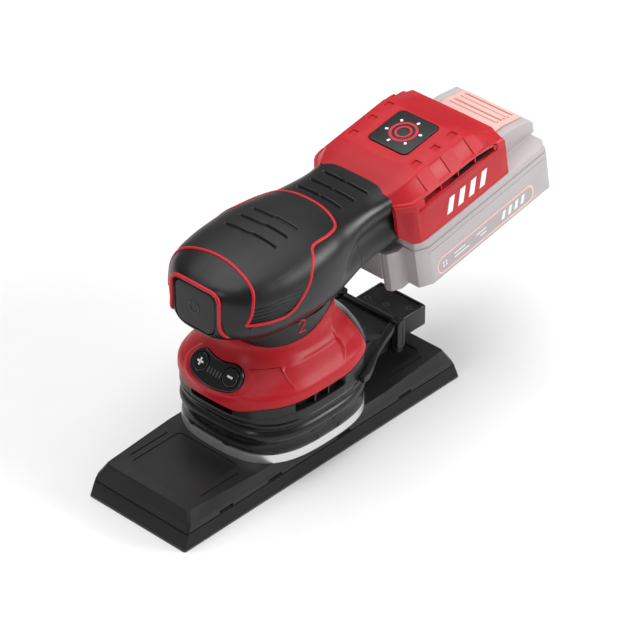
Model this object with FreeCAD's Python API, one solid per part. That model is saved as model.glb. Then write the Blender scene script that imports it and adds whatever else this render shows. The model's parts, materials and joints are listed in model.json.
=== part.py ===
"""Cordless orbital sander with a long rectangular pad.

Origin: centre of the pad's lower face. +Z up, +Y towards the battery, millimetres.
Every physical piece is one solid, or a group of like solids, in its own STEP file.
"""
import FreeCAD
import Part
import math
import os

V = FreeCAD.Vector
X_AXIS = V(1, 0, 0)
Z_AXIS = V(0, 0, 1)

# ---- driving dimensions -------------------------------------------------------------
PAD_WIDTH = 70.0              # standard 70 mm wide abrasive
PAD_LENGTH = 211.0
ORBIT = 2.0                   # orbit diameter of the pad
MOTOR_Y = -4.0                # the motor axis is vertical, at this y
ECCENTRIC_Y = MOTOR_Y + ORBIT / 2

HOOK_TOP = 1.2
FOAM_TOP = 9.0
GROOVE = 0.8                  # parting groove between foam and plate
PLATE_BEVEL = 13.0            # the plate's side band ends here
PLATE_TOP = 19.5
BASE_TOP = 24.6
BOOT_BOTTOM = 25.0
BOOT_TOP = 44.0
VENT_TOP = 52.6
NECK_FRONT = 79.5              # the red shroud meets the collar here at the front
NECK_TILT = 8.8               # degrees that this joint line rises to the rear
COLLAR_TOP = 93.0

RING_X = 41.5                 # half width and half length of the round base
RING_Y = 46.3
RING_POWER = 2.9
WALL = 2.5
HEAD_WALL = 4.0
GRIP_SKIN = 1.8

SHAFT_R = 3.95                # turns in bearings of 4.0 bore radius
BEARING_BORE_R = 4.0
BEARING_OUTER_R = 11.0
BEARING_HEIGHT = 7.0
PAD_PIN_R = 5.95              # turns in the pad bearing of 6.0 bore radius
PAD_BEARING_BORE_R = 6.0
PAD_BEARING_R = 14.0
PAD_BEARING_BOTTOM = 22.5
PAD_BEARING_HEIGHT = 8.0
STATOR_R = 22.0
STATOR_BORE_R = 13.6
STATOR_BOTTOM = 66.0
STATOR_TOP = 92.0

BUTTON_X = 13.4               # half width of the power button
BUTTON_BOTTOM = 99.5
BUTTON_TOP = 124.5
BUTTON_FACE = -60.6
KEY_X = 10.6
KEYPAD_Y = -45.4
KEYPAD_Z = 63.0
KEYPAD_TILT = 42.0            # degrees that the keypad leans back from level
KEYPAD_BEND = 30.0            # radius of the keypad's curved centre line
KEYPAD_WIDTH = 15.6
KEYPAD_ANGLE = 20.5           # degrees of the centre line on each side of the middle
LAMP_PITCH = 2.1

TILT = 10.0                   # the battery and its cover rise this many degrees to the rear
DOCK_ORIGIN = V(0, 66, 100)
DOCK = FreeCAD.Placement(DOCK_ORIGIN, FreeCAD.Rotation(X_AXIS, TILT))
COVER_BOTTOM = 3.4
DOCK_FRONT = 5.0
DOCK_REAR = 72.0
DOCK_ROOF = 15.0
PACK_X = 38.0
PACK_FRONT = 1.6
PACK_REAR = 107.0
PACK_BOTTOM = -29.5
PACK_SEAM = -2.0
NOSE_BOTTOM = -20.0
CHEEK_BOTTOM = -27.6
RAIL_X = 26.0
RAIL_FRONT = 4.0
RAIL_NECK_X = 22.0
RAIL_TOP = 11.0
BLADE_X = (-15.0, -5.0, 5.0, 15.0)
CELL_R = 9.1
CELL_COUNT = 5
CELL_PITCH = 18.6
FIRST_CELL = 16.0

DUCT_X = 17.4
FLANGE_X = 18.2
LUG_X = 20.2
PORT_X = 16.5
PORT_FRONT = 74.4
PORT_REAR = 97.4
PORT_BOTTOM = 29.6
PORT_TOP = 42.5

# Head and handle: y, half width, lowest z, highest z, squareness
HEAD_SECTIONS = (
    (-59.5, 15.8, 98.0, 126.6, 3.4),
    (-57.0, 20.5, 96.0, 128.6, 3.1),
    (-52.0, 26.5, 94.0, 131.2, 2.8),
    (-44.0, 31.5, 91.0, 134.0, 2.7),
    (-32.0, 35.0, 88.5, 136.2, 2.6),
    (-18.0, 36.3, 88.0, 137.6, 2.6),
    (-2.0, 36.3, 88.0, 138.6, 2.6),
    (12.0, 34.4, 88.0, 138.4, 2.6),
    (24.0, 31.2, 90.0, 137.4, 2.7),
    (36.0, 28.6, 94.0, 136.5, 2.8),
    (48.0, 27.0, 97.4, 135.6, 2.9),
    (60.0, 27.2, 100.0, 135.8, 3.0),
    (72.0, 28.0, 102.0, 136.6, 3.0),
)

# Side view of the palm pad: y, z
GRIP_OUTLINE = (
    (23.0, 150.0), (23.0, 137.0), (21.0, 134.2), (15.0, 133.1), (-1.7, 133.2), (-6.6, 129.4),
    (-14.7, 119.6), (-22.7, 112.0), (-31.5, 108.4), (-51.0, 108.6), (-47.5, 120.5),
    (-45.1, 127.2), (-43.6, 133.0), (-42.6, 150.0),
)

# Red shroud: z, half width, front y, rear y, squareness
SHROUD_SECTIONS = (
    (52.6, 41.3, -51.5, 43.0, 2.9),
    (60.0, 40.7, -51.1, 43.0, 2.9),
    (64.0, 38.3, -48.6, 42.0, 2.8),
    (70.0, 33.0, -43.4, 39.0, 2.5),
    (74.0, 29.4, -40.6, 35.4, 2.3),
    (79.0, 27.2, -38.6, 32.4, 2.1),
    (93.0, 28.2, -41.5, 33.0, 2.1),
)


# ---- shared shape helpers -----------------------------------------------------------
def block(x0, x1, y0, y1, z0, z1):
    return Part.makeBox(x1 - x0, y1 - y0, z1 - z0, V(x0, y0, z0))


def cylinder(radius, start, end):
    direction = end.sub(start)
    return Part.makeCylinder(radius, direction.Length, start, direction)


def tube(outer, inner, start, end):
    return cylinder(outer, start, end).cut(cylinder(inner, start, end))


def on_axis(z, y=MOTOR_Y):
    return V(0, y, z)


def fuse(shapes):
    result = shapes[0]
    for shape in shapes[1:]:
        result = result.fuse(shape)
    return result.removeSplitter()


def group(shapes):
    return Part.makeCompound(shapes)


def power_curve(angle, power):
    c, s = math.cos(angle), math.sin(angle)
    scale = 2.0 / power
    return math.copysign(abs(c) ** scale, c), math.copysign(abs(s) ** scale, s)


def closed_spline(points):
    curve = Part.BSplineCurve()
    curve.interpolate(Points=points, PeriodicFlag=True)
    return Part.Wire([curve.toShape()])


def flat_ring(z, half_x, front, rear, power, count=32):
    """A superellipse in a level plane, from its front to its rear y."""
    middle, half_y = (front + rear) / 2, (rear - front) / 2
    points = []
    for index in range(count):
        c, s = power_curve(2 * math.pi * (index + 0.5) / count, power)
        points.append(V(half_x * c, middle + half_y * s, z))
    return closed_spline(points)


def upright_ring(y, half_x, low, high, power, count=32):
    """A superellipse in an upright plane across the handle."""
    middle, half_z = (low + high) / 2, (high - low) / 2
    points = []
    for index in range(count):
        c, s = power_curve(2 * math.pi * (index + 0.5) / count, power)
        points.append(V(half_x * c, y, middle + half_z * s))
    return closed_spline(points)


def loft(wires, ruled=False):
    return Part.makeLoft(wires, True, ruled, False)


def base_disc(z0, z1, inset0=0.0, inset1=None):
    """A slab of the round base's outline, inset at its bottom and top."""
    if inset1 is None:
        inset1 = inset0
    front, back = MOTOR_Y - RING_Y, MOTOR_Y + RING_Y
    wires = [flat_ring(z, RING_X - inset, front + inset, back - inset, RING_POWER)
             for z, inset in ((z0, inset0), (z1, inset1))]
    return loft(wires, ruled=True)


def rounded_wire(half_x, half_y, radius, z, y=0.0):
    lines, arcs = [], []
    corners = ((1, 1, 0), (-1, 1, 90), (-1, -1, 180), (1, -1, 270))
    ends = []
    for sx, sy, start in corners:
        centre = V(sx * (half_x - radius), y + sy * (half_y - radius), z)
        points = []
        for degrees in (start, start + 45, start + 90):
            turn = math.radians(degrees)
            points.append(centre.add(V(radius * math.cos(turn), radius * math.sin(turn), 0)))
        arcs.append(Part.Arc(*points).toShape())
        ends.append((points[0], points[2]))
    for index in range(4):
        lines.append(Part.LineSegment(ends[index][1], ends[(index + 1) % 4][0]).toShape())
    edges = [edge for pair in zip(arcs, lines) for edge in pair]
    return Part.Wire(edges)


def rounded_slab(half_x0, half_y0, z0, half_x1, half_y1, z1, radius):
    lower = rounded_wire(half_x0, half_y0, radius, z0)
    upper = rounded_wire(half_x1, half_y1, radius, z1)
    return loft([lower, upper], True)


def side_prism(outline, x0, x1):
    """A side-view outline (y, z) carried across the object from x0 to x1."""
    points = [V(x0, y, z) for y, z in outline]
    face = Part.Face(Part.makePolygon(points + points[:1]))
    return face.extrude(V(x1 - x0, 0, 0))


def plan_prism(outline, z0, z1):
    points = [V(x, y, z0) for x, y in outline]
    face = Part.Face(Part.makePolygon(points + points[:1]))
    return face.extrude(V(0, 0, z1 - z0))


def placed(shape, placement):
    moved = shape.copy()
    moved.Placement = placement.multiply(moved.Placement)
    return moved


def in_dock(shape):
    return placed(shape, DOCK)


def screw(head_r, shank_r, head, end, head_height=3.0):
    """A cap screw whose head starts at one point and whose shank ends at another."""
    direction = end.sub(head).normalize()
    neck = head.add(V(direction).multiply(head_height))
    socket_end = head.add(V(direction).multiply(head_height * 0.6))
    body = cylinder(head_r, head, neck).fuse(cylinder(shank_r, neck, end))
    return body.cut(cylinder(head_r * 0.5, head, socket_end))


def bearing(bore, outer, z0, height, y=MOTOR_Y):
    """Inner and outer race joined by a shielded middle."""
    race = tube(outer, bore, on_axis(z0, y), on_axis(z0 + height, y))
    shield = tube(outer - 1.6, bore + 1.6, on_axis(z0, y), on_axis(z0 + 0.6, y))
    top = shield.translated(V(0, 0, height - 0.6))
    return race.cut(shield).cut(top)


# ---- pad, which circles under the housing -------------------------------------------
DUST_HOLES = tuple((x, y) for x in (-21.0, 21.0) for y in (-78.0, -52.0, 52.0, 78.0))
PAD_SCREWS = tuple((x, y) for x in (-23.0, 23.0) for y in (MOTOR_Y - 26.0, MOTOR_Y + 26.0))


def dust_holes(z0, z1):
    return group([cylinder(4.5, V(x, y, z0), V(x, y, z1)) for x, y in DUST_HOLES])


def hook_layer():
    slab = rounded_slab(PAD_WIDTH / 2, PAD_LENGTH / 2, 0, PAD_WIDTH / 2, PAD_LENGTH / 2 - 0.2, HOOK_TOP, 1.5)
    return slab.cut(dust_holes(-1, HOOK_TOP + 1))


def foam_layer():
    slab = rounded_slab(34.9, 105.3, HOOK_TOP, 34.2, 102.7, FOAM_TOP, 1.5)
    return slab.cut(dust_holes(0, FOAM_TOP + 1))


def top_plate():
    lip = rounded_slab(33.4, 101.8, FOAM_TOP, 33.4, 101.8, FOAM_TOP + GROOVE, 1.5)
    band = rounded_slab(34.1, 102.4, FOAM_TOP + GROOVE, 33.5, 100.7, PLATE_BEVEL, 1.5)
    low = [(33.5, 99.4), (32.2, 100.7)]
    high = [(29.9, 95.8), (28.6, 97.2)]
    shoulders = bevel_wire(low, 33.5, 48.0, PLATE_BEVEL), bevel_wire(high, 33.3, 48.0, PLATE_TOP)
    bevel = loft(list(shoulders), ruled=True)
    ears = loft([flat_ring(PLATE_BEVEL - 2, 34.0, MOTOR_Y - 38, MOTOR_Y + 38, 2.6),
                 flat_ring(PLATE_TOP, 39.6, MOTOR_Y - 44, MOTOR_Y + 44, 2.8)], ruled=True)
    solid = fuse([lip, band, bevel, ears])
    plenum = rounded_slab(29.5, 90.0, FOAM_TOP - 1, 28.5, 89.0, 16.3, 4)
    posts = [cylinder(4.5, V(x, y, FOAM_TOP), V(x, y, 17)) for x, y in PAD_SCREWS]
    solid = solid.cut(plenum.cut(group(posts)))
    solid = solid.cut(cylinder(19.0, on_axis(10, ECCENTRIC_Y), on_axis(PLATE_TOP + 1, ECCENTRIC_Y)))
    solid = solid.cut(group(pad_screw_list()))
    return solid.cut(group(plate_notches()))


def bevel_wire(corner, waist_x, waist_y, z):
    """Plate outline with rounded-off corners and a wider waist."""
    quarter = [(waist_x, waist_y)] + list(corner)
    outline = quarter + [(-x, y) for x, y in reversed(quarter)]
    outline = outline + [(-x, -y) for x, y in outline]
    points = [V(x, y, z) for x, y in outline]
    return Part.makePolygon(points + points[:1])


def plate_notches():
    """Small catch slots along both lower edges of the plate."""
    cuts = []
    for side in (-1, 1):
        for y in (-74.0, -38.0, 14.0, 62.0):
            x0, x1 = sorted((side * 32.6, side * 36.0))
            cuts.append(block(x0, x1, y - 5, y + 5, FOAM_TOP + GROOVE, FOAM_TOP + GROOVE + 1.5))
    return cuts


def pad_screw_list():
    return [screw(4.2, 2.2, V(x, y, BASE_TOP - 0.4), V(x, y, 12)) for x, y in PAD_SCREWS]


def pad_screws():
    return group(pad_screw_list())


def pad_base():
    """Cast plate with the bearing seat and windows for the dust."""
    plate = base_disc(PLATE_TOP, BASE_TOP, 0.7)
    seat_top = PAD_BEARING_BOTTOM + PAD_BEARING_HEIGHT
    seat = cylinder(PAD_BEARING_R + 3, on_axis(PLATE_TOP, ECCENTRIC_Y), on_axis(seat_top, ECCENTRIC_Y))
    solid = plate.fuse(seat)
    pocket = cylinder(PAD_BEARING_R, on_axis(PAD_BEARING_BOTTOM, ECCENTRIC_Y), on_axis(60, ECCENTRIC_Y))
    solid = solid.cut(pocket).cut(cylinder(9.0, on_axis(0, ECCENTRIC_Y), on_axis(60, ECCENTRIC_Y)))
    windows = []
    for degrees in (0, 180, 60, 120, 240, 300):
        turn = math.radians(degrees)
        centre = V(24.5 * math.cos(turn), ECCENTRIC_Y + 24.5 * math.sin(turn), PLATE_TOP - 1)
        windows.append(cylinder(4.6, centre, centre.add(V(0, 0, 8))))
    return solid.cut(group(windows)).cut(group(pad_screw_list()))


def pad_bearing():
    return bearing(PAD_BEARING_BORE_R, PAD_BEARING_R, PAD_BEARING_BOTTOM, PAD_BEARING_HEIGHT, ECCENTRIC_Y)


# ---- rotor --------------------------------------------------------------------------
HUB_BOTTOM = 32.6
HUB_TOP = 43.0


def motor_shaft():
    shaft = cylinder(SHAFT_R, on_axis(HUB_BOTTOM + 1), on_axis(105))
    return shaft.makeChamfer(0.5, [edge for edge in shaft.Edges if edge.Length < 26])


def eccentric_hub():
    pin = cylinder(PAD_PIN_R, on_axis(22.0, ECCENTRIC_Y), on_axis(HUB_BOTTOM - 1, ECCENTRIC_Y))
    collar = cylinder(8.0, on_axis(HUB_BOTTOM - 1.6, ECCENTRIC_Y), on_axis(HUB_BOTTOM, ECCENTRIC_Y))
    boss = cylinder(10.0, on_axis(HUB_BOTTOM), on_axis(HUB_TOP))
    solid = fuse([pin, collar, boss])
    solid = solid.cut(cylinder(SHAFT_R, on_axis(HUB_BOTTOM + 1), on_axis(60)))
    return solid.cut(hub_screw())


def hub_screw():
    washer = cylinder(7.4, on_axis(21.2, ECCENTRIC_Y), on_axis(22.0, ECCENTRIC_Y))
    head = cylinder(4.6, on_axis(17.6, ECCENTRIC_Y), on_axis(21.2, ECCENTRIC_Y))
    shank = cylinder(2.5, on_axis(21.0, ECCENTRIC_Y), on_axis(31.0, ECCENTRIC_Y))
    socket = cylinder(2.2, on_axis(17.0, ECCENTRIC_Y), on_axis(19.4, ECCENTRIC_Y))
    return fuse([washer, head, shank]).cut(socket)


def counterweight():
    disc = tube(25.0, 10.0, on_axis(34.0), on_axis(41.0))
    half = block(-40, 40, MOTOR_Y - 40, MOTOR_Y - 2, 30, 45)
    strap = tube(13.0, 10.0, on_axis(34.0), on_axis(41.0))
    return disc.common(half).fuse(strap).removeSplitter()


def cooling_fan():
    hub = cylinder(9.0, on_axis(46.0), on_axis(51.4))
    disc = cylinder(29.0, on_axis(46.5), on_axis(47.8))
    blades = []
    for index in range(11):
        blade = block(8, 28.5, MOTOR_Y - 0.7, MOTOR_Y + 0.7, 47.5, 51.4)
        blade.rotate(V(8, MOTOR_Y, 0), Z_AXIS, 24)
        blade.rotate(on_axis(0), Z_AXIS, index * 360 / 11)
        blades.append(blade)
    rim = cylinder(29.0, on_axis(46.0), on_axis(54.0))
    solid = fuse([hub, disc] + blades).common(rim)
    return solid.cut(cylinder(SHAFT_R, on_axis(40), on_axis(60)))


def rotor_core():
    core = tube(11.5, SHAFT_R, on_axis(STATOR_BOTTOM + 1), on_axis(STATOR_TOP - 1))
    holes = []
    for index in range(4):
        turn = math.radians(45 + 90 * index)
        centre = V(8 * math.cos(turn), MOTOR_Y + 8 * math.sin(turn), 60)
        holes.append(cylinder(1.4, centre, centre.add(V(0, 0, 40))))
    return core.cut(group(holes))


def rotor_magnets():
    ring = tube(12.9, 11.5, on_axis(STATOR_BOTTOM + 1), on_axis(STATOR_TOP - 1))
    gaps = []
    for index in range(2):
        gap = block(-20, 20, MOTOR_Y - 0.8, MOTOR_Y + 0.8, 60, 100)
        gap.rotate(on_axis(0), Z_AXIS, 90 * index)
        gaps.append(gap)
    return group(ring.cut(group(gaps)).Solids)


# ---- motor parts that stand still ---------------------------------------------------
def stator_tooth(index, half_width, r0, r1, z0, z1):
    tooth = block(r0, r1, MOTOR_Y - half_width, MOTOR_Y + half_width, z0, z1)
    tooth.rotate(on_axis(0), Z_AXIS, 60 * index)
    return tooth


def motor_stator():
    ring = tube(STATOR_R, 18.6, on_axis(STATOR_BOTTOM), on_axis(STATOR_TOP))
    teeth = [stator_tooth(i, 2.2, 13.0, 19.5, STATOR_BOTTOM, STATOR_TOP) for i in range(6)]
    bore = cylinder(STATOR_BORE_R, on_axis(60), on_axis(100))
    return fuse([ring] + teeth).cut(bore)


def stator_windings():
    coils = []
    for index in range(6):
        outer = stator_tooth(index, 4.6, 14.6, 17.8, STATOR_BOTTOM - 2.4, STATOR_TOP + 2.4)
        inner = stator_tooth(index, 2.2, 10.0, 22.0, STATOR_BOTTOM, STATOR_TOP)
        coils.append(outer.cut(inner))
    return group(coils)


def motor_sleeve():
    return tube(23.6, STATOR_R, on_axis(57.0), on_axis(95.0))


def lower_bearing():
    return bearing(BEARING_BORE_R, BEARING_OUTER_R, 55.5, BEARING_HEIGHT)


def upper_bearing():
    return bearing(BEARING_BORE_R, BEARING_OUTER_R, 97.0, BEARING_HEIGHT)


CARRIER_SCREWS = tuple((x, y) for x in (-22.0, 22.0) for y in (MOTOR_Y - 27.0, MOTOR_Y + 27.0))


def carrier_screw_list():
    return [screw(3.4, 1.7, V(x, y, 51.6), V(x, y, 66), 2.4) for x, y in CARRIER_SCREWS]


def carrier_screws():
    return group(carrier_screw_list())


def motor_carrier():
    plate = base_disc(VENT_TOP, 57.0, 4.6)
    seat = cylinder(13.8, on_axis(VENT_TOP), on_axis(62.5))
    solid = plate.fuse(seat)
    solid = solid.cut(cylinder(BEARING_OUTER_R, on_axis(55.5), on_axis(80)))
    solid = solid.cut(cylinder(8.0, on_axis(40), on_axis(60)))
    windows = []
    for index in range(8):
        window = block(16, 22, MOTOR_Y - 4, MOTOR_Y + 4, 50, 60)
        window.rotate(on_axis(0), Z_AXIS, 45 * index)
        windows.append(window)
    keypad_room = placed(kidney(KEYPAD_BEND, KEYPAD_WIDTH + 1.4, KEYPAD_ANGLE + 3.5, -8, 12), KEYPAD)
    return solid.cut(group(windows)).cut(group(carrier_screw_list())).cut(keypad_room)


def bearing_bridge():
    plate = cylinder(23.6, on_axis(95.0), on_axis(98.0))
    seat = cylinder(13.6, on_axis(95.0), on_axis(105.0))
    solid = plate.fuse(seat)
    solid = solid.cut(cylinder(BEARING_OUTER_R, on_axis(97.0), on_axis(104.0)))
    solid = solid.cut(cylinder(7.0, on_axis(90.0), on_axis(106.0)))
    cable_gap = block(-8, 8, MOTOR_Y + 14.5, MOTOR_Y + 30, 90, 110)
    windows = []
    for degrees in (0, 45, 135, 180, 225, 270, 315):
        window = block(15.5, 20.5, MOTOR_Y - 3, MOTOR_Y + 3, 90, 100)
        window.rotate(on_axis(0), Z_AXIS, degrees)
        windows.append(window)
    return solid.cut(cable_gap).cut(group(windows))


def wire_leads():
    """Three motor leads up to the control board and two power leads on to the dock."""
    leads = [cylinder(1.1, V(x, 15.4, 95.2), V(x, 23.6, 106.5)) for x in (-4.0, 0.0, 4.0)]
    leads = leads + [cylinder(1.3, V(x, 56.0, 113.0), V(x, 65.0, 118.0)) for x in (-12.0, 12.0)]
    return group(leads)


# ---- round base ---------------------------------------------------------------------
POSTS = tuple((x, y) for x in (-25.0, 25.0) for y in (MOTOR_Y - 28.5, MOTOR_Y + 28.5))


def guide_posts():
    """Rubber posts that keep the pad from turning."""
    posts = []
    for x, y in POSTS:
        post = cylinder(3.2, V(x, y, BASE_TOP + 0.4), V(x, y, BOOT_TOP))
        foot = cylinder(3.8, V(x, y, BASE_TOP + 0.4), V(x, y, BASE_TOP + 3.4))
        cap = cylinder(3.8, V(x, y, BOOT_TOP - 3), V(x, y, BOOT_TOP))
        posts.append(fuse([post, foot, cap]))
    return group(posts)


RIB_COUNT = 2


def boot():
    """Rubber bellows with rounded ribs."""
    front, back = MOTOR_Y - RING_Y, MOTOR_Y + RING_Y
    wires = []
    steps = 20
    for step in range(steps + 1):
        inset = 0.4 + 1.3 * abs(math.cos(math.pi * RIB_COUNT * step / steps)) ** 3
        z = BOOT_BOTTOM + (BOOT_TOP - BOOT_BOTTOM) * step / steps
        wires.append(flat_ring(z, RING_X - inset, front + inset, back - inset, RING_POWER))
    return loft(wires, ruled=True).cut(base_disc(BOOT_BOTTOM - 1, BOOT_TOP + 1, 4.6))


def vent_ring():
    wall = base_disc(BOOT_TOP, VENT_TOP, 0.2, -0.1)
    floor_z = BOOT_TOP + 1.4
    solid = wall.cut(base_disc(floor_z, VENT_TOP + 1, 3.4))
    solid = solid.cut(cylinder(20.0, on_axis(BOOT_TOP - 1), on_axis(floor_z + 1)))
    slots = []
    for degrees in vent_angles():
        slot = block(25, 60, MOTOR_Y - 1.9, MOTOR_Y + 1.9, 46.6, 51.2)
        slot.rotate(on_axis(0), Z_AXIS, degrees)
        slots.append(slot)
    return solid.cut(group(slots)).cut(duct_mouth())


def vent_angles():
    front = [-90 + step * 7.5 for step in range(-4, 5)]
    right = [-14 + step * 7.5 for step in range(5)]
    left = [180 - degrees for degrees in right]
    return front + right + left


def duct_mouth():
    return block(-14.5, 14.5, MOTOR_Y + 30, MOTOR_Y + 60, 46.2, 51.6)


def shroud_loft(inset, overrun=0.0):
    """The tapering body from the vent ring up to the head, shared by shroud and collar."""
    wires = []
    for index, (z, half_x, front, rear, power) in enumerate(SHROUD_SECTIONS):
        if index == 0:
            z = z - overrun
        if index == len(SHROUD_SECTIONS) - 1:
            z = z + overrun
        wires.append(flat_ring(z, half_x - inset, front + inset, rear - inset, power))
    return loft(wires, ruled=True)


def neck_region():
    """Everything above the sloping joint between shroud and collar."""
    rise = math.tan(math.radians(NECK_TILT))
    front = NECK_FRONT - 22 * rise
    rear = NECK_FRONT + 118 * rise
    return side_prism([(-60, front), (80, rear), (80, 140), (-60, 140)], -60, 60)


def shroud_shell():
    return shroud_loft(0.0).cut(shroud_loft(WALL, 2.0)).cut(neck_region())


# Side view of the line where the red shroud ends and the black rear housing starts
WING_EDGE = ((30.0, 50.0), (30.0, 60.0), (28.0, 68.0), (24.0, 76.0), (19.0, 84.0), (17.0, 95.0))


def rear_region(shift=0.0):
    outline = [(y + shift, z) for y, z in WING_EDGE] + [(70.0, 95.0), (70.0, 50.0)]
    return side_prism(outline, -60, 60)


def carrier_bosses():
    return [cylinder(3.6, V(x, y, 57.0), V(x, y, 68.0)) for x, y in CARRIER_SCREWS]


def base_shroud():
    """Red shroud round the front and sides of the motor."""
    solid = shroud_shell().cut(rear_region())
    bosses = group(carrier_bosses()).cut(rear_region())
    solid = solid.fuse(bosses.common(shroud_loft(0.4)))
    solid = solid.cut(group(carrier_screw_list())).cut(keypad_recess())
    return biggest(solid)


def biggest(shape):
    return max(shape.Solids, key=lambda solid: solid.Volume)


def rear_housing():
    return biggest(shroud_shell().common(rear_region(0.3)))


def collar():
    """Black band between the shroud and the head, with a shadow groove at its top."""
    solid = shroud_loft(0.0).cut(shroud_loft(WALL, 2.0)).common(neck_region())
    slab = block(-60, 60, -80, 80, COLLAR_TOP - 0.8, COLLAR_TOP + 1)
    return biggest(solid.cut(slab.cut(shroud_loft(1.0, 2.0))))


# ---- keypad -------------------------------------------------------------------------
KEYPAD = FreeCAD.Placement(V(0, KEYPAD_Y, KEYPAD_Z), FreeCAD.Rotation(X_AXIS, KEYPAD_TILT))


def kidney(bend, width, angle, z0, z1):
    """A bean outline in the keypad's plane, hollow side up the slope."""
    def at(radius, degrees):
        turn = math.radians(degrees)
        return V(radius * math.sin(turn), bend - radius * math.cos(turn), z0)

    half = width / 2
    edges = [Part.Arc(at(bend + half, -angle), at(bend + half, 0), at(bend + half, angle)).toShape()]
    edges.append(end_arc(at(bend, angle), at(bend + half, angle), at(bend - half, angle)))
    edges.append(Part.Arc(at(bend - half, angle), at(bend - half, 0), at(bend - half, -angle)).toShape())
    edges.append(end_arc(at(bend, -angle), at(bend - half, -angle), at(bend + half, -angle)))
    return Part.Face(Part.Wire(edges)).extrude(V(0, 0, z1 - z0))


def end_arc(centre, start, end):
    radius = start.sub(centre)
    side = V(radius.y, -radius.x, 0)
    if side.x * centre.x < 0:
        side = side.negative()
    return Part.Arc(start, centre.add(side), end).toShape()


def keypad_recess():
    return placed(kidney(KEYPAD_BEND, KEYPAD_WIDTH, KEYPAD_ANGLE, -3.0, 12), KEYPAD)


def key_disc(x, z0, z1, radius):
    y = KEYPAD_BEND - math.sqrt(KEYPAD_BEND ** 2 - KEY_X ** 2)
    return cylinder(radius, V(x, y, z0), V(x, y, z1))


def level_bars(z0, z1, grow=0.0):
    bars = []
    for step in range(-2, 3):
        bar = block(-0.35 - grow, 0.35 + grow, -1.7 - grow, 1.7 + grow, z0, z1)
        bars.append(placed(bar, FreeCAD.Placement(V(step * LAMP_PITCH, 0.2, 0), FreeCAD.Rotation(Z_AXIS, 0))))
    return group(bars)


def keypad_frame():
    slab = kidney(KEYPAD_BEND, KEYPAD_WIDTH - 0.6, KEYPAD_ANGLE, -2.6, 1.5)
    for x in (-KEY_X, KEY_X):
        slab = slab.cut(key_disc(x, -5, 5, 5.4))
    return placed(slab.cut(level_bars(-5, 5)), KEYPAD)


def level_lights():
    return placed(level_bars(-2.6, 1.6), KEYPAD)


def key(x):
    return placed(key_disc(x, -1.8, 1.9, 5.1), KEYPAD)


def keypad_board():
    return placed(kidney(KEYPAD_BEND, KEYPAD_WIDTH - 3.6, KEYPAD_ANGLE - 2.5, -5.6, -4.4), KEYPAD)


# ---- head and handle ----------------------------------------------------------------
def head_loft(inset, first=0.0, last=0.0):
    wires = []
    for index, (y, half_x, low, high, power) in enumerate(HEAD_SECTIONS):
        if index == 0:
            y = y + first
        if index == len(HEAD_SECTIONS) - 1:
            y = y + last
        wires.append(upright_ring(y, half_x - inset, low + inset, high - inset, power))
    return loft(wires)


def above_collar(shape):
    return shape.common(block(-60, 60, -80, 80, COLLAR_TOP, 160))


def inner_head():
    """The space inside the shells, open at the rear and into the collar."""
    wires = []
    for y, half_x, low, high, power in HEAD_SECTIONS[1:]:
        if y == HEAD_SECTIONS[1][0]:
            y = y + 1.5
        if y == HEAD_SECTIONS[-1][0]:
            y = y + 5
        wires.append(upright_ring(y, half_x - HEAD_WALL, low + HEAD_WALL, high - HEAD_WALL, power))
    neck = loft([flat_ring(COLLAR_TOP - 3, 25.2, -37.0, 30.0, 2.1),
                 flat_ring(COLLAR_TOP + 8, 25.2, -37.0, 30.0, 2.1)], True)
    return loft(wires).fuse(neck)


def button_outline(grow):
    """Front-view outline of the power button, narrower at its lower end."""
    low, high, half = BUTTON_BOTTOM - grow, BUTTON_TOP + grow, BUTTON_X + grow
    return ((-half + 3.0, high), (half - 3.0, high), (half, high - 3.5), (half, low + 5.0),
            (half - 4.0, low), (-half + 4.0, low), (-half, low + 5.0), (-half, high - 3.5))


def front_prism(outline, y0, y1):
    points = [V(x, y0, z) for x, z in outline]
    face = Part.Face(Part.makePolygon(points + points[:1]))
    return face.extrude(V(0, y1 - y0, 0))


def grip_region():
    return side_prism(GRIP_OUTLINE, -60, 60)


def grip_layer():
    """The outer skin of the head, as deep as the soft grip."""
    return head_loft(0.0).cut(head_loft(GRIP_SKIN, 0.0, 1.0))


def palm_pad():
    return biggest(grip_layer().common(grip_region()))


def battery_space():
    """Room for the pack, its dock and the way they slide apart."""
    deck = block(-45, 45, -0.5, 120, -60, COVER_BOTTOM)
    dock = block(-45, 45, RAIL_FRONT - 0.6, 120, -60, DOCK_ROOF + 0.4)
    return in_dock(deck.fuse(dock))


def head_shell():
    solid = above_collar(head_loft(0.0)).cut(inner_head()).cut(battery_space())
    solid = solid.cut(front_prism(button_outline(2.4), -70, -50))
    return solid.cut(palm_pad())


def head_half(shell, side):
    x0, x1 = sorted((0.0, side * 60.0))
    half = biggest(shell.common(block(x0, x1, -80, 90, 60, 160)))
    if side < 0:
        half = biggest(half.cut(group(case_screw_list())))
    return half


CASE_SCREWS = ((-40.0, 101.0), (8.0, 103.0), (34.0, 115.0), (54.0, 115.0))


def case_screw_list():
    screws = []
    for y, z in CASE_SCREWS:
        edge = half_width_at(y, z)
        screws.append(screw(2.8, 1.4, V(-edge + 1.0, y, z), V(-edge + 5.5, y, z), 2.4))
    return screws


def half_width_at(y, z):
    """Half width of the head's outer skin at a point of its side view."""
    for first, second in zip(HEAD_SECTIONS, HEAD_SECTIONS[1:]):
        if first[0] <= y <= second[0]:
            share = (y - first[0]) / (second[0] - first[0])
            half_x, low, high, power = [a + share * (b - a) for a, b in zip(first[1:], second[1:])]
    height = abs(z - (low + high) / 2) / ((high - low) / 2)
    return half_x * (1 - height ** power) ** (1 / power)


def case_screws():
    return group(case_screw_list())


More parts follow.
